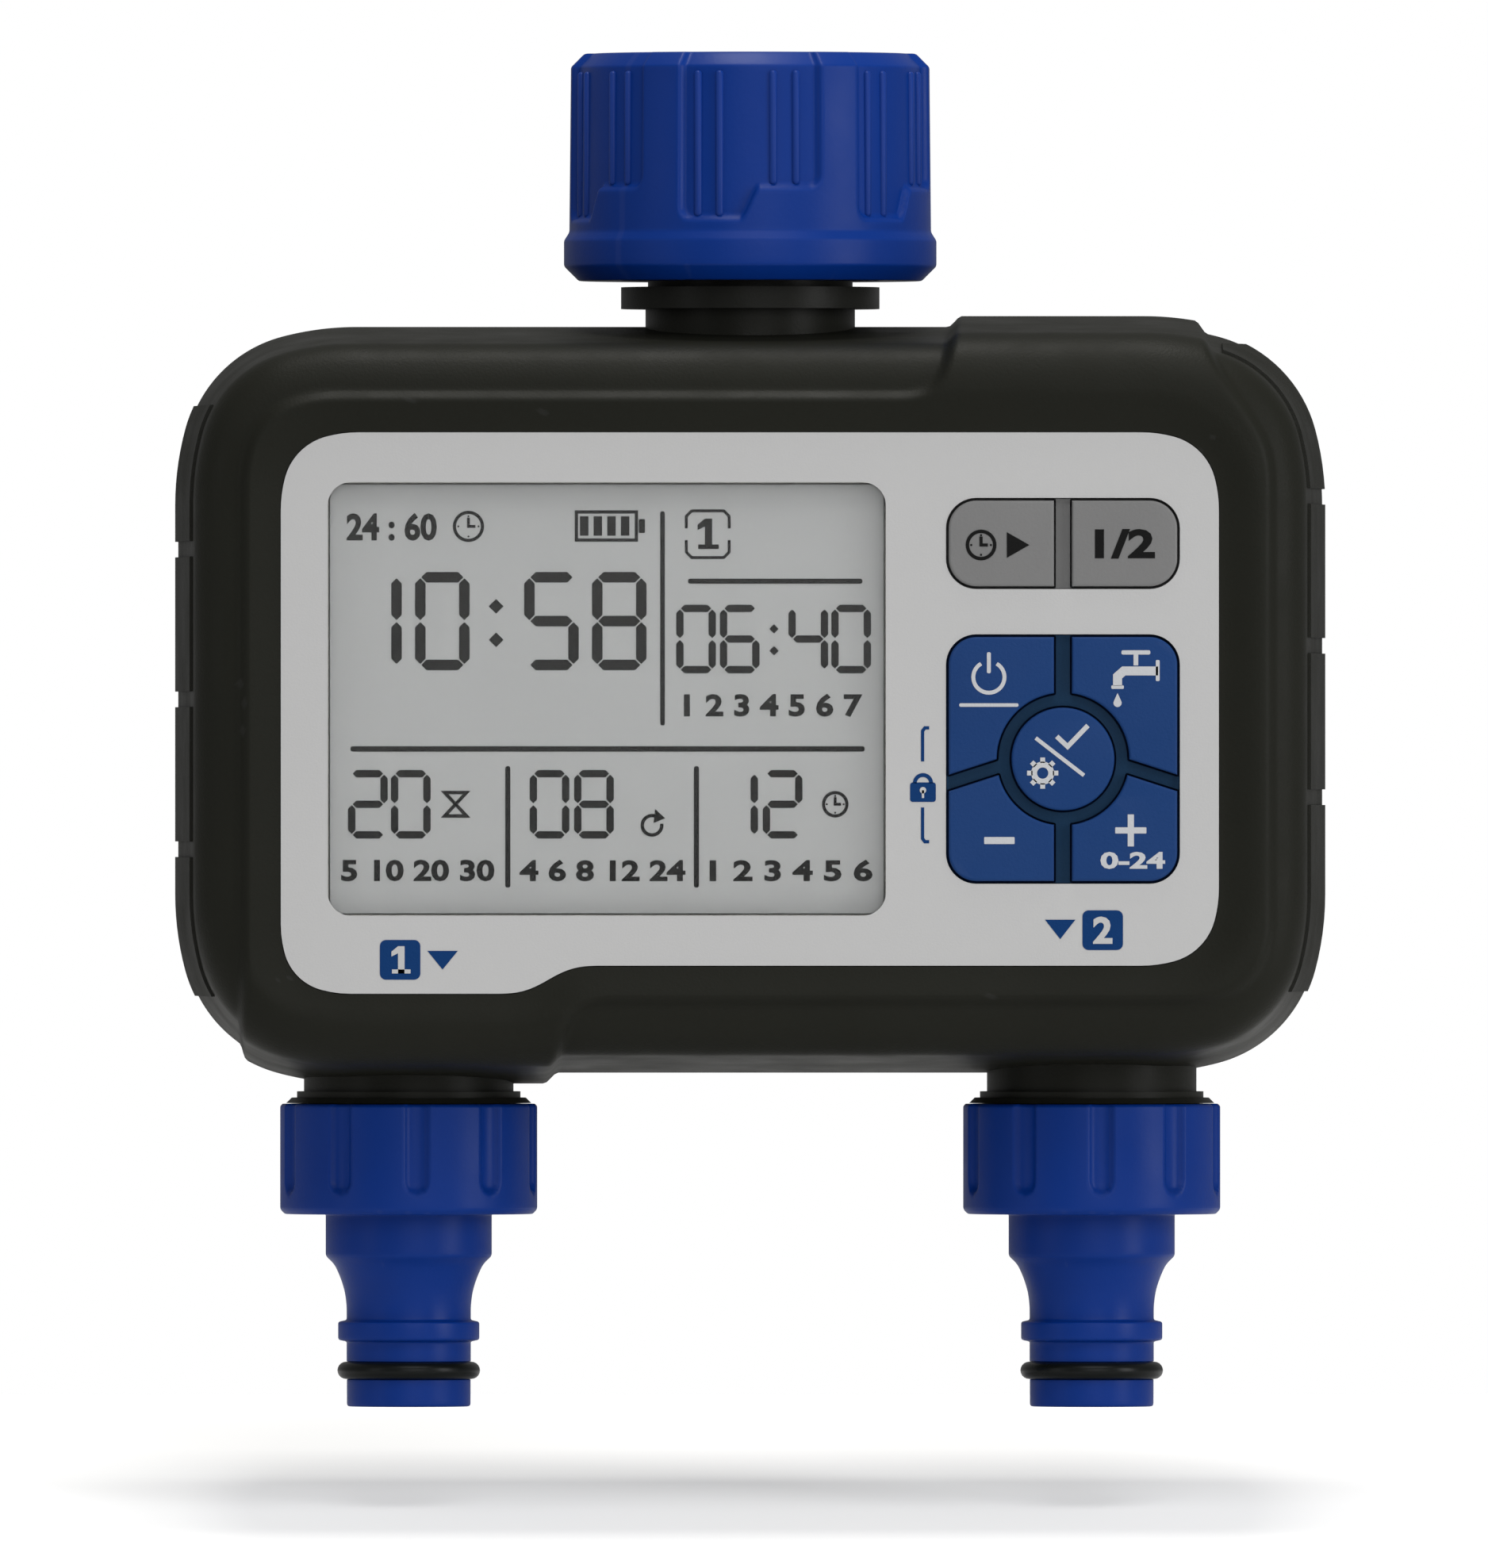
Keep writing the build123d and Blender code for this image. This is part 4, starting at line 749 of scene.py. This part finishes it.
def adaptor(side):
    """Grooved nut and stepped hose spigot, turned in one piece."""
    node = "outlet_adaptor_" + side
    low, high = low_high(node)
    centre_x = (low[0] + high[0]) / 2
    top, tip = high[2], low[2]
    profile = densify(rounded_profile([
        (nut_bore, top, 0.0), (nut_radius - 0.3, top, 0.0), (nut_radius, top - 0.3, 0.2),
        (nut_radius, nut_low + 0.6, 0.35), (nut_radius - 0.6, nut_low, 0.2),
        (step_radius, nut_low, 0.25), (step_radius, step_low, 0.35), (9.55, -137.0, 0.7),
        (8.75, -138.8, 1.0), (8.2, -140.6, 1.0), (hose_radius, -142.4, 0.6),
        (hose_radius, ridge_top + 0.25, 0.25), (ridge_radius, ridge_top, 0.3),
        (ridge_radius, ridge_low, 0.3), (hose_radius, ridge_low - 0.25, 0.2),
        (hose_radius, groove_top, 0.1), (groove_radius, groove_top, 0.0),
        (groove_radius, groove_low, 0.0), (tip_radius, groove_low, 0.1), (tip_radius, tip, 0.4),
        (water_radius, tip, 0.3), (water_radius, nut_floor, 0.1), (nut_bore, nut_floor, 0.1)],
        parts=4), 0.45)
    groove_turn = 360.0 / finger_grooves

    def shape(radius, height, angle):
        turn = np.degrees(angle) - first_groove + groove_turn / 2
        across = np.radians(turn % groove_turn - groove_turn / 2) * nut_radius
        over = height - (groove_end + groove_half)
        gap = np.where(over > 0, np.abs(across), np.hypot(across, over))
        flank = np.clip(1 - (gap / groove_half) ** 2, 0, 1)
        dent = groove_deep * np.sqrt(flank) * smooth_step(flank, 0.0, 0.35)
        on_nut = (radius > 15.0) & (height > nut_low + 0.7)
        return radius - np.where(on_nut, dent, 0.0), height

    thing = lathe(node + "_moulding", profile, finishes["blue"], count=360,
                  centre=(centre_x, 0.0), shape=shape, crease=50.0)
    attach(thing, body_of[node])
    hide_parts(node)
    ring_low, ring_high = low_high("spigot_o_ring_" + side)
    middle = (ring_low[2] + ring_high[2]) / 2
    section = (ring_high[2] - ring_low[2]) / 2
    big = (ring_high[0] - ring_low[0]) / 2 - section
    seal = lathe("spigot_seal_" + side, arc(big, middle, section, range(0, 360, 18)),
                 finishes["rubber"], count=120, centre=(centre_x, 0.0))
    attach(seal, body_of["spigot_o_ring_" + side])
    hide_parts("spigot_o_ring_" + side)


# ---- flat marks ------------------------------------------------------
class Marks:
    """Gathers flat printed shapes at one depth into one thin, closed mesh."""

    def __init__(self, face_y):
        self.work = bmesh.new()
        self.face_y = face_y

    def shape(self, points):
        """A filled outline of (x, z) points, with its small thickness."""
        front = [self.work.verts.new((x * MM, (self.face_y - print_thick) * MM, z * MM))
                 for x, z in points]
        back = [self.work.verts.new((x * MM, self.face_y * MM, z * MM)) for x, z in points]
        self.work.faces.new(front)
        self.work.faces.new(back[::-1])
        for i in range(len(points)):
            j = (i + 1) % len(points)
            self.work.faces.new((front[i], back[i], back[j], front[j]))

    def box(self, x0, x1, z0, z1, corner=0.0):
        """A rectangle, with round corners if asked."""
        if corner <= 0:
            self.shape([(x0, z0), (x1, z0), (x1, z1), (x0, z1)])
            return
        points = []
        for cx, cz, start in ((x1 - corner, z0 + corner, -90), (x1 - corner, z1 - corner, 0),
                              (x0 + corner, z1 - corner, 90), (x0 + corner, z0 + corner, 180)):
            points += arc(cx, cz, corner, range(start, start + 91, 15))
        self.shape(points)

    def disc(self, x, z, radius, parts=32):
        """A filled circle."""
        self.shape(arc(x, z, radius, [360 * k / parts for k in range(parts)]))

    def stroke(self, points, width, closed=False):
        """A line of even width through points, with mitred turns."""
        path = [np.array(p, float) for p in points]
        count = len(path)
        left, right = [], []
        for i, here in enumerate(path):
            before = path[i - 1] if (closed or i) else None
            after = path[(i + 1) % count] if (closed or i < count - 1) else None
            into = (here - before) / np.linalg.norm(here - before) if before is not None else None
            out = (after - here) / np.linalg.norm(after - here) if after is not None else None
            into = out if into is None else into
            out = into if out is None else out
            side = np.array([-(into + out)[1], (into + out)[0]])
            side /= np.linalg.norm(side)
            scale = width / 2 / max(0.35, float(side @ np.array([-into[1], into[0]])))
            left.append(here + side * scale)
            right.append(here - side * scale)
        last = count if closed else count - 1
        for i in range(last):
            j = (i + 1) % count
            self.shape([tuple(right[i]), tuple(right[j]), tuple(left[j]), tuple(left[i])])

    def ring(self, x, z, radius, width, start=0, stop=360):
        """A circle or part of one, drawn as a line."""
        parts = max(6, int(abs(stop - start) / 10))
        whole = abs(stop - start) >= 360
        turns = [start + (stop - start) * k / parts for k in range(parts + (not whole))]
        self.stroke(arc(x, z, radius, turns), width, closed=whole)

    def digit(self, value, x, z, wide, tall, line):
        """A seven-segment figure whose box starts at x, z."""
        lit = {0: "abcdef", 1: "bc", 2: "abged", 3: "abgcd", 4: "fgbc", 5: "afgcd", 6: "afgecd",
               7: "fabc", 8: "abcdefg", 9: "abcdfg"}[value]
        half, gap = line / 2, 0.12
        ends = {"a": ((0, 1), (1, 1)), "b": ((1, 1), (1, 0.5)), "c": ((1, 0.5), (1, 0)),
                "d": ((0, 0), (1, 0)), "e": ((0, 0.5), (0, 0)), "f": ((0, 1), (0, 0.5)),
                "g": ((0, 0.5), (1, 0.5))}
        for name in lit:
            (u0, v0), (u1, v1) = ends[name]
            start = np.array([x + half + u0 * (wide - line), z + half + v0 * (tall - line)])
            stop = np.array([x + half + u1 * (wide - line), z + half + v1 * (tall - line)])
            way = (stop - start) / np.linalg.norm(stop - start)
            side = np.array([-way[1], way[0]]) * half
            start, stop = start + way * gap, stop - way * gap
            tip = way * half
            outline = [start, start + tip - side, stop - tip - side, stop, stop - tip + side,
                       start + tip + side]
            self.shape([tuple(p) for p in outline])

    def diamond(self, x, z, half):
        """A square on its corner."""
        self.shape([(x - half, z), (x, z - half), (x + half, z), (x, z + half)])

    def done(self, name, material, body):
        """The gathered shapes as one piece."""
        bmesh.ops.recalc_face_normals(self.work, faces=self.work.faces)
        mesh = bpy.data.meshes.new(name)
        self.work.to_mesh(mesh)
        self.work.free()
        thing = finish_mesh(name, mesh, material, 20.0)
        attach(thing, body)
        return thing


def figures(name, text, box, face_y, material, body, bold=0.035):
    """Plain numerals fitted into a box (x0, x1, z0, z1), as thin flat pieces."""
    x0, x1, z0, z1 = box
    curve = bpy.data.curves.new(name, "FONT")
    curve.body = text
    curve.size = 1.0
    curve.offset = bold
    curve.resolution_u = 3
    shape = bpy.data.objects.new(name, curve)
    scene.collection.objects.link(shape)
    depsgraph = bpy.context.evaluated_depsgraph_get()
    mesh = bpy.data.meshes.new_from_object(shape.evaluated_get(depsgraph))
    bpy.data.objects.remove(shape)
    bpy.data.curves.remove(curve)
    places = np.array([v.co[:2] for v in mesh.vertices])
    low, high = places.min(0), places.max(0)
    work = bmesh.new()
    work.from_mesh(mesh)
    bmesh.ops.remove_doubles(work, verts=work.verts, dist=1e-5)
    bmesh.ops.dissolve_limit(work, angle_limit=0.01, verts=work.verts, edges=work.edges)
    bmesh.ops.triangulate(work, faces=work.faces)
    front = list(work.faces)
    pushed = bmesh.ops.extrude_face_region(work, geom=front)
    raised = [v for v in pushed["geom"] if isinstance(v, bmesh.types.BMVert)]
    lifted = set(raised)
    for v in work.verts:
        x = x0 + (v.co.x - low[0]) / (high[0] - low[0]) * (x1 - x0)
        z = z0 + (v.co.y - low[1]) / (high[1] - low[1]) * (z1 - z0)
        y = face_y - (print_thick if v in lifted else 0.0)
        v.co = (x * MM, y * MM, z * MM)
    bmesh.ops.recalc_face_normals(work, faces=work.faces)
    work.to_mesh(mesh)
    work.free()
    mesh.name = name
    thing = finish_mesh(name, mesh, material, 20.0)
    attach(thing, body)
    return thing


def clock_mark(marks, x, z, radius, line):
    """A small clock face."""
    marks.ring(x, z, radius, line)
    marks.stroke([(x, z + radius * 0.62), (x, z), (x + radius * 0.5, z)], line * 0.9)
    for hour_x, hour_z in arc(x, z, radius * 0.72, range(0, 360, 90)):
        marks.disc(hour_x, hour_z, line * 0.32, 8)


def one_mark(marks, x, z, tall):
    """The numeral one, standing at x on height z: a stem with a flag and a foot."""
    stem = tall * 0.24
    marks.box(x - stem / 2, x + stem / 2, z, z + tall)
    marks.shape([(x - stem / 2, z + tall), (x - tall * 0.36, z + tall * 0.8),
                 (x - tall * 0.36, z + tall * 0.62), (x - stem / 2, z + tall * 0.74)])
    marks.box(x - tall * 0.34, x + tall * 0.34, z, z + tall * 0.15)


def drop_mark(marks, x, z, size):
    """A water drop with its point up."""
    marks.shape(arc(x, z, size * 0.62, range(-210, 31, 15)) + [(x, z + size * 1.5)])


def bars(name, tree, first_x, middle_z, count, pitch, wide, tall, face_y, material, body):
    """A scale of small bars."""
    thing = grown_mesh(name, tree, {
        "Count": count, "First": (first_x * MM, (face_y - print_thick / 2) * MM, middle_z * MM),
        "Pitch": pitch * MM, "Bar": (wide * MM, print_thick * MM, tall * MM),
        "Material": material}, material)
    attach(thing, body)
    return thing


big_digit = (7.0, 12.6, 1.35)   # wide, tall, line
small_digit = (5.1, 8.8, 0.95)


def display_marks(bar_tree):
    """Figures, rules and signs on the display glass."""
    face = glass_face - 0.01
    marks = Marks(face)
    rows = [(-60.5, big_digit, ((1, -51.7), (0, -43.0), (5, -29.0), (8, -20.3))),
            (-60.9, small_digit, ((0, -9.5), (6, -3.9), (4, 4.9), (0, 10.4))),
            (-82.1, small_digit, ((2, -51.6), (0, -46.1), (0, -28.3), (8, -22.6), (1, -4.1),
                                  (2, 1.6)))]
    for foot, size, figures_at in rows:
        for value, x in figures_at:
            marks.digit(value, x, foot, *size)
    for x, z, half in ((-32.6, -52.3, 0.95), (-32.6, -56.6, 0.95), (3.05, -55.2, 0.6),
                       (3.05, -58.0, 0.6)):
        marks.diamond(x, z, half)
    marks.box(-11.55, -10.95, -67.6, -40.1, 0.29)
    marks.box(-8.0, 14.4, -49.4, -48.75, 0.3)
    marks.box(-51.3, 14.7, -70.95, -70.25, 0.33)
    for x in (-31.1, -6.9):
        marks.box(x - 0.33, x + 0.33, -88.4, -72.8, 0.3)
    clock_mark(marks, -36.15, -42.05, 1.8, 0.42)
    # battery: case, terminal
    marks.stroke([(-22.3, -40.2), (-14.6, -40.2), (-14.6, -43.8), (-22.3, -43.8)], 0.42, True)
    marks.box(-14.3, -13.5, -42.9, -41.1, 0.15)
    # chosen outlet, in its bracketed box
    for way in (-1, 1):
        top, foot = -43.05 + way * 3.0, -43.05 + way * 0.75
        marks.stroke([(-8.2, foot), (-8.2, top - way * 0.7), (-7.5, top), (-3.4, top),
                      (-2.7, top - way * 0.7), (-2.7, foot)], 0.38)
    one_mark(marks, -5.35, -44.95, 3.9)
    # small signs beside the figures: hourglass, repeat, clock
    marks.stroke([(-39.2, -76.2), (-36.4, -76.2), (-39.2, -79.2), (-36.4, -79.2)], 0.45, True)
    marks.ring(-12.6, -80.4, 1.25, 0.45, 70, 370)
    marks.shape([(-12.2, -78.3), (-10.9, -79.5), (-12.4, -80.1)])
    clock_mark(marks, 10.9, -77.7, 1.5, 0.42)
    body = body_of["lcd_glass"]
    black = finishes["segments"]
    marks.done("display_figures", black, body)
    captions = [
        ("now_figures", "24 : 60", (-51.8, -40.2, -43.9, -40.3)),
        ("start_figures", "1 2 3 4 5 6 7", (-8.5, 14.4, -66.5, -63.5)),
        ("length_figures", "5 10 20 30", (-52.5, -32.8, -87.6, -84.8)),
        ("repeat_figures", "4 6 8 12 24", (-29.6, -8.3, -87.6, -84.8)),
        ("next_figures", "1 2 3 4 5 6", (-5.2, 15.7, -87.6, -84.8))]
    for name, text, box in captions:
        figures(name, text, box, face, black, body)
    bars("battery_level", bar_tree, -21.3, -42.0, 4, 1.75, 1.1, 2.5, face, black, body)


def panel_marks():
    """Outlet signs and the key-lock sign printed on the face panel."""
    marks = Marks(panel_face)
    marks.stroke([(22.95, -67.9), (22.4, -67.9), (22.1, -68.3), (22.1, -72.2)], 0.42)
    marks.stroke([(22.1, -78.1), (22.1, -82.1), (22.4, -82.5), (22.95, -82.5)], 0.42)
    marks.box(20.5, 23.8, -77.4, -74.9, 0.35)
    marks.ring(22.15, -75.0, 1.05, 0.5, 0, 180)
    for x0, x1, z0, z1 in ((-47.5, -42.3, -100.2, -95.1), (42.6, 47.8, -96.4, -91.3)):
        marks.box(x0, x1, z0, z1, 0.8)
    marks.shape([(-41.4, -96.5), (-39.45, -98.9), (-37.5, -96.5)])
    marks.shape([(37.8, -92.5), (39.75, -95.0), (41.7, -92.5)])
    body = body_of["face_panel"]
    marks.done("panel_signs", finishes["blue_print"], body)
    figures("outlet_two_figure", "2", (43.95, 46.45, -95.6, -92.1), panel_face - print_thick,
            finishes["panel"], body)
    pale = Marks(panel_face - print_thick)
    one_mark(pale, -44.75, -99.4, 3.5)
    pale.disc(22.15, -75.9, 0.42, 16)
    pale.box(22.0, 22.3, -76.9, -75.9)
    pale.done("pale_signs", finishes["panel"], body)


def key_marks():
    """Signs on the key caps."""
    grey_face = low_high("key_outlet_one")[0][1]
    blue_face = low_high("key_set")[0][1]
    marks = Marks(grey_face)
    clock_mark(marks, 29.6, -44.45, 1.75, 0.45)
    marks.shape([(32.9, -42.8), (32.9, -46.1), (35.8, -44.45)])
    marks.done("start_sign", finishes["dark_print"], body_of["key_outlet_one"])
    figures("outlet_sign", "1/2", (44.2, 51.9, -46.2, -42.4), grey_face,
            finishes["dark_print"], body_of["key_outlet_two"])
    marks = Marks(blue_face)
    marks.ring(30.6, -61.4, 2.0, 0.5, 120, 420)
    marks.box(30.35, 30.85, -60.9, -58.2, 0.2)
    marks.box(26.8, 34.4, -65.2, -64.75, 0.2)
    marks.done("back_sign", finishes["grey_print"], body_of["key_back"])
    marks = Marks(blue_face)
    # tap: handle, spout and drop
    marks.box(47.6, 51.3, -58.5, -57.95, 0.2)
    marks.box(49.15, 49.75, -59.9, -58.5)
    marks.stroke([(52.3, -60.6), (47.9, -60.6), (47.1, -61.3), (47.1, -62.5)], 1.15)
    marks.box(52.0, 52.5, -61.9, -59.2, 0.15)
    marks.box(46.3, 47.9, -62.9, -62.45, 0.12)
    drop_mark(marks, 47.1, -64.7, 0.85)
    marks.done("tap_sign", finishes["grey_print"], body_of["key_manual"])
    marks = Marks(blue_face)
    marks.stroke([(39.3, -69.0), (40.7, -70.3), (43.3, -67.6)], 0.62)
    marks.stroke([(36.6, -69.2), (42.8, -74.0)], 0.5)
    marks.ring(37.5, -73.7, 1.1, 0.75)
    eighths = range(0, 360, 45)
    for tooth in zip(arc(37.5, -73.7, 1.3, eighths), arc(37.5, -73.7, 2.0, eighths)):
        marks.stroke(tooth, 0.62)
    marks.done("set_sign", finishes["grey_print"], body_of["key_set"])
    marks = Marks(blue_face)
    marks.box(30.0, 33.9, -82.8, -81.9, 0.1)
    marks.done("minus_sign", finishes["grey_print"], body_of["key_minus"])
    marks = Marks(blue_face)
    marks.box(46.8, 50.8, -81.45, -80.65, 0.1)
    marks.box(48.4, 49.2, -80.65, -79.0)
    marks.box(48.4, 49.2, -83.1, -81.45)
    marks.done("plus_sign", finishes["grey_print"], body_of["key_plus"])
    figures("delay_figures", "0-24", (44.9, 53.2, -86.0, -83.8), blue_face,
            finishes["grey_print"], body_of["key_plus"])


# ---- everything in its finish ----------------------------------------
shown_finish = {
    "rear_shell": "housing", "battery_door": "housing", "door_latch": "housing",
    "side_grip_left": "grip", "side_grip_right": "grip", "valve_body": "waterway",
    "face_panel": "panel", "lcd_glass": "glass", "display_window": "window",
    "key_outlet_one": "grey_key", "key_outlet_two": "grey_key", "grey_key_mat": "grey_mat",
    "key_back": "blue_key", "key_manual": "blue_key", "key_minus": "blue_key",
    "key_plus": "blue_key", "key_set": "blue_key", "blue_key_mat": "blue_mat",
    "inlet_washer": "rubber", "collar_ring": "natural", "filter_screen": "natural",
    "adaptor_washer_left": "rubber", "adaptor_washer_right": "rubber",
    "neck_seals": "rubber", "shell_gasket": "rubber", "door_seal": "rubber",
    "housing_screws": "steel", "hinge_pins": "steel", "battery_box": "natural",
    "battery_cells": "cell", "contact_springs": "spring", "contact_plates": "spring",
}
hidden_finish = {
    "lcd_holder": "natural", "circuit_board": "board", "board_screws": "steel",
    "tact_switches": "chip", "control_chips": "chip", "bonnet_screws": "steel",
    "solenoid_yokes": "steel", "leads": "lead",
}
for side in ("left", "right"):
    hidden_finish.update({
        "diaphragm_" + side: "rubber", "valve_disc_" + side: "natural",
        "valve_bonnet_" + side: "natural", "solenoid_coil_" + side: "copper",
        "solenoid_plunger_" + side: "steel"})


def dress_nodes():
    """Every CAD node that stays gets its finish; the ones in view are resurfaced."""
    for node, finish in shown_finish.items():
        resurface(node, finishes[finish])
    for node, finish in hidden_finish.items():
        mesh = nodes_cad[node].data
        mesh.materials.clear()
        mesh.materials.append(finishes[finish])


def springs():
    """The four return springs, each a resurfaced copy with its own mesh."""
    for part in ("plunger", "disc"):
        for side in ("left", "right"):
            node = f"{part}_spring_{side}"
            coil = resurface(node, finishes["spring"])
            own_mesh(coil)


# ---- stage, light and camera -----------------------------------------
view_tall = 0.20205         # height of the picture at the object
view_middle = (-0.0008, -0.0751)
lens_length = 1200.0
sensor_tall = 36.0
floor_level = -0.1685
floor_rise = 0.022
floor_reach = 0.32


def white_stage(name, diffuse, glow):
    """A matt white that the camera sees a little brighter than the light makes it."""
    material = bpy.data.materials.new(name)
    material.use_nodes = True
    tree = material.node_tree
    shader = tree.nodes["Principled BSDF"]
    shader.inputs["Base Color"].default_value = (diffuse, diffuse, diffuse, 1)
    shader.inputs["Roughness"].default_value = 0.9
    shader.inputs["Specular IOR Level"].default_value = 0.0
    shader.inputs["Emission Color"].default_value = (1, 1, 1, 1)
    ray = tree.nodes.new("ShaderNodeLightPath")
    strength = maths(tree, "MULTIPLY", ray.outputs["Is Camera Ray"], glow)
    tree.links.new(strength, shader.inputs["Emission Strength"])
    return material


def stage_floor():
    """A pale floor that slopes a little towards the lens under the object."""
    mesh = bpy.data.meshes.new("studio_floor")
    depths = [-floor_reach] + [-0.16 + 0.02 * k for k in range(17)] + [floor_reach]
    points = []
    for y in depths:
        lift = floor_rise * float(smooth_step(np.array(y), -0.15, 0.15) - 0.5)
        points += [(-2 * floor_reach, y, floor_level + lift),
                   (2 * floor_reach, y, floor_level + lift)]
    faces = [(2 * i, 2 * i + 1, 2 * i + 3, 2 * i + 2) for i in range(len(depths) - 1)]
    mesh.from_pydata(points, [], faces)
    floor = bpy.data.objects.new("studio_floor", mesh)
    scene.collection.objects.link(floor)
    mesh.shade_smooth()
    mesh.materials.append(white_stage("studio_white", 0.82, 0.36))


def surroundings():
    """Even white light all round, and plain white behind the object."""
    world = bpy.data.worlds.new("studio_air")
    scene.world = world
    world.use_nodes = True
    tree = world.node_tree
    sky = tree.nodes["Background"]
    sky.inputs["Color"].default_value = (1, 1, 1, 1)
    ray = tree.nodes.new("ShaderNodeLightPath")
    level = spread(tree, ray.outputs["Is Camera Ray"], 0.28, 1.0, 0.0, 1.0)
    tree.links.new(level, sky.inputs["Strength"])


def lamp(name, place, size, power, tint=(1, 1, 1)):
    """A soft box that faces the middle of the object."""
    middle = Vector((0.0, 0.0, -0.0682))
    data = bpy.data.lights.new(name, "AREA")
    data.shape = "RECTANGLE"
    data.size, data.size_y = size
    data.energy = power
    data.color = tint
    thing = bpy.data.objects.new(name, data)
    thing.location = place
    thing.rotation_euler = (middle - Vector(place)).to_track_quat("-Z", "Y").to_euler()
    scene.collection.objects.link(thing)


def studio():
    """Floor, surroundings, soft boxes and a very long lens held level."""
    stage_floor()
    surroundings()
    lamp("lamp_above", (0.0, -0.02, 1.1), (0.42, 0.42), 7.5, (1.0, 0.985, 0.95))
    lamp("lamp_high_front", (0.15, -0.8, 0.95), (0.8, 0.5), 4.5)
    lamp("lamp_right", (1.05, -0.6, 0.1), (0.4, 0.9), 6.0)
    lamp("lamp_left", (-1.1, -0.7, 0.2), (0.4, 0.9), 1.2)
    lamp("lamp_front", (0.25, -1.6, 0.25), (1.0, 0.7), 5.0)
    lens = bpy.data.cameras.new("camera")
    lens.lens = lens_length
    lens.sensor_fit = "VERTICAL"
    lens.sensor_height = sensor_tall
    lens.clip_end = 100.0
    camera = bpy.data.objects.new("camera", lens)
    distance = view_tall * lens_length / sensor_tall
    camera.location = (view_middle[0], -distance, view_middle[1])
    camera.rotation_euler = (math.radians(90), 0, 0)
    scene.collection.objects.link(camera)
    scene.camera = camera


studio()
front_shell()
collar()
collar_ribs()
for side in ("left", "right"):
    adaptor(side)
dress_nodes()
springs()
bar_tree = bar_row_tree()
display_marks(bar_tree)
panel_marks()
key_marks()

scene.view_settings.view_transform = "Standard"
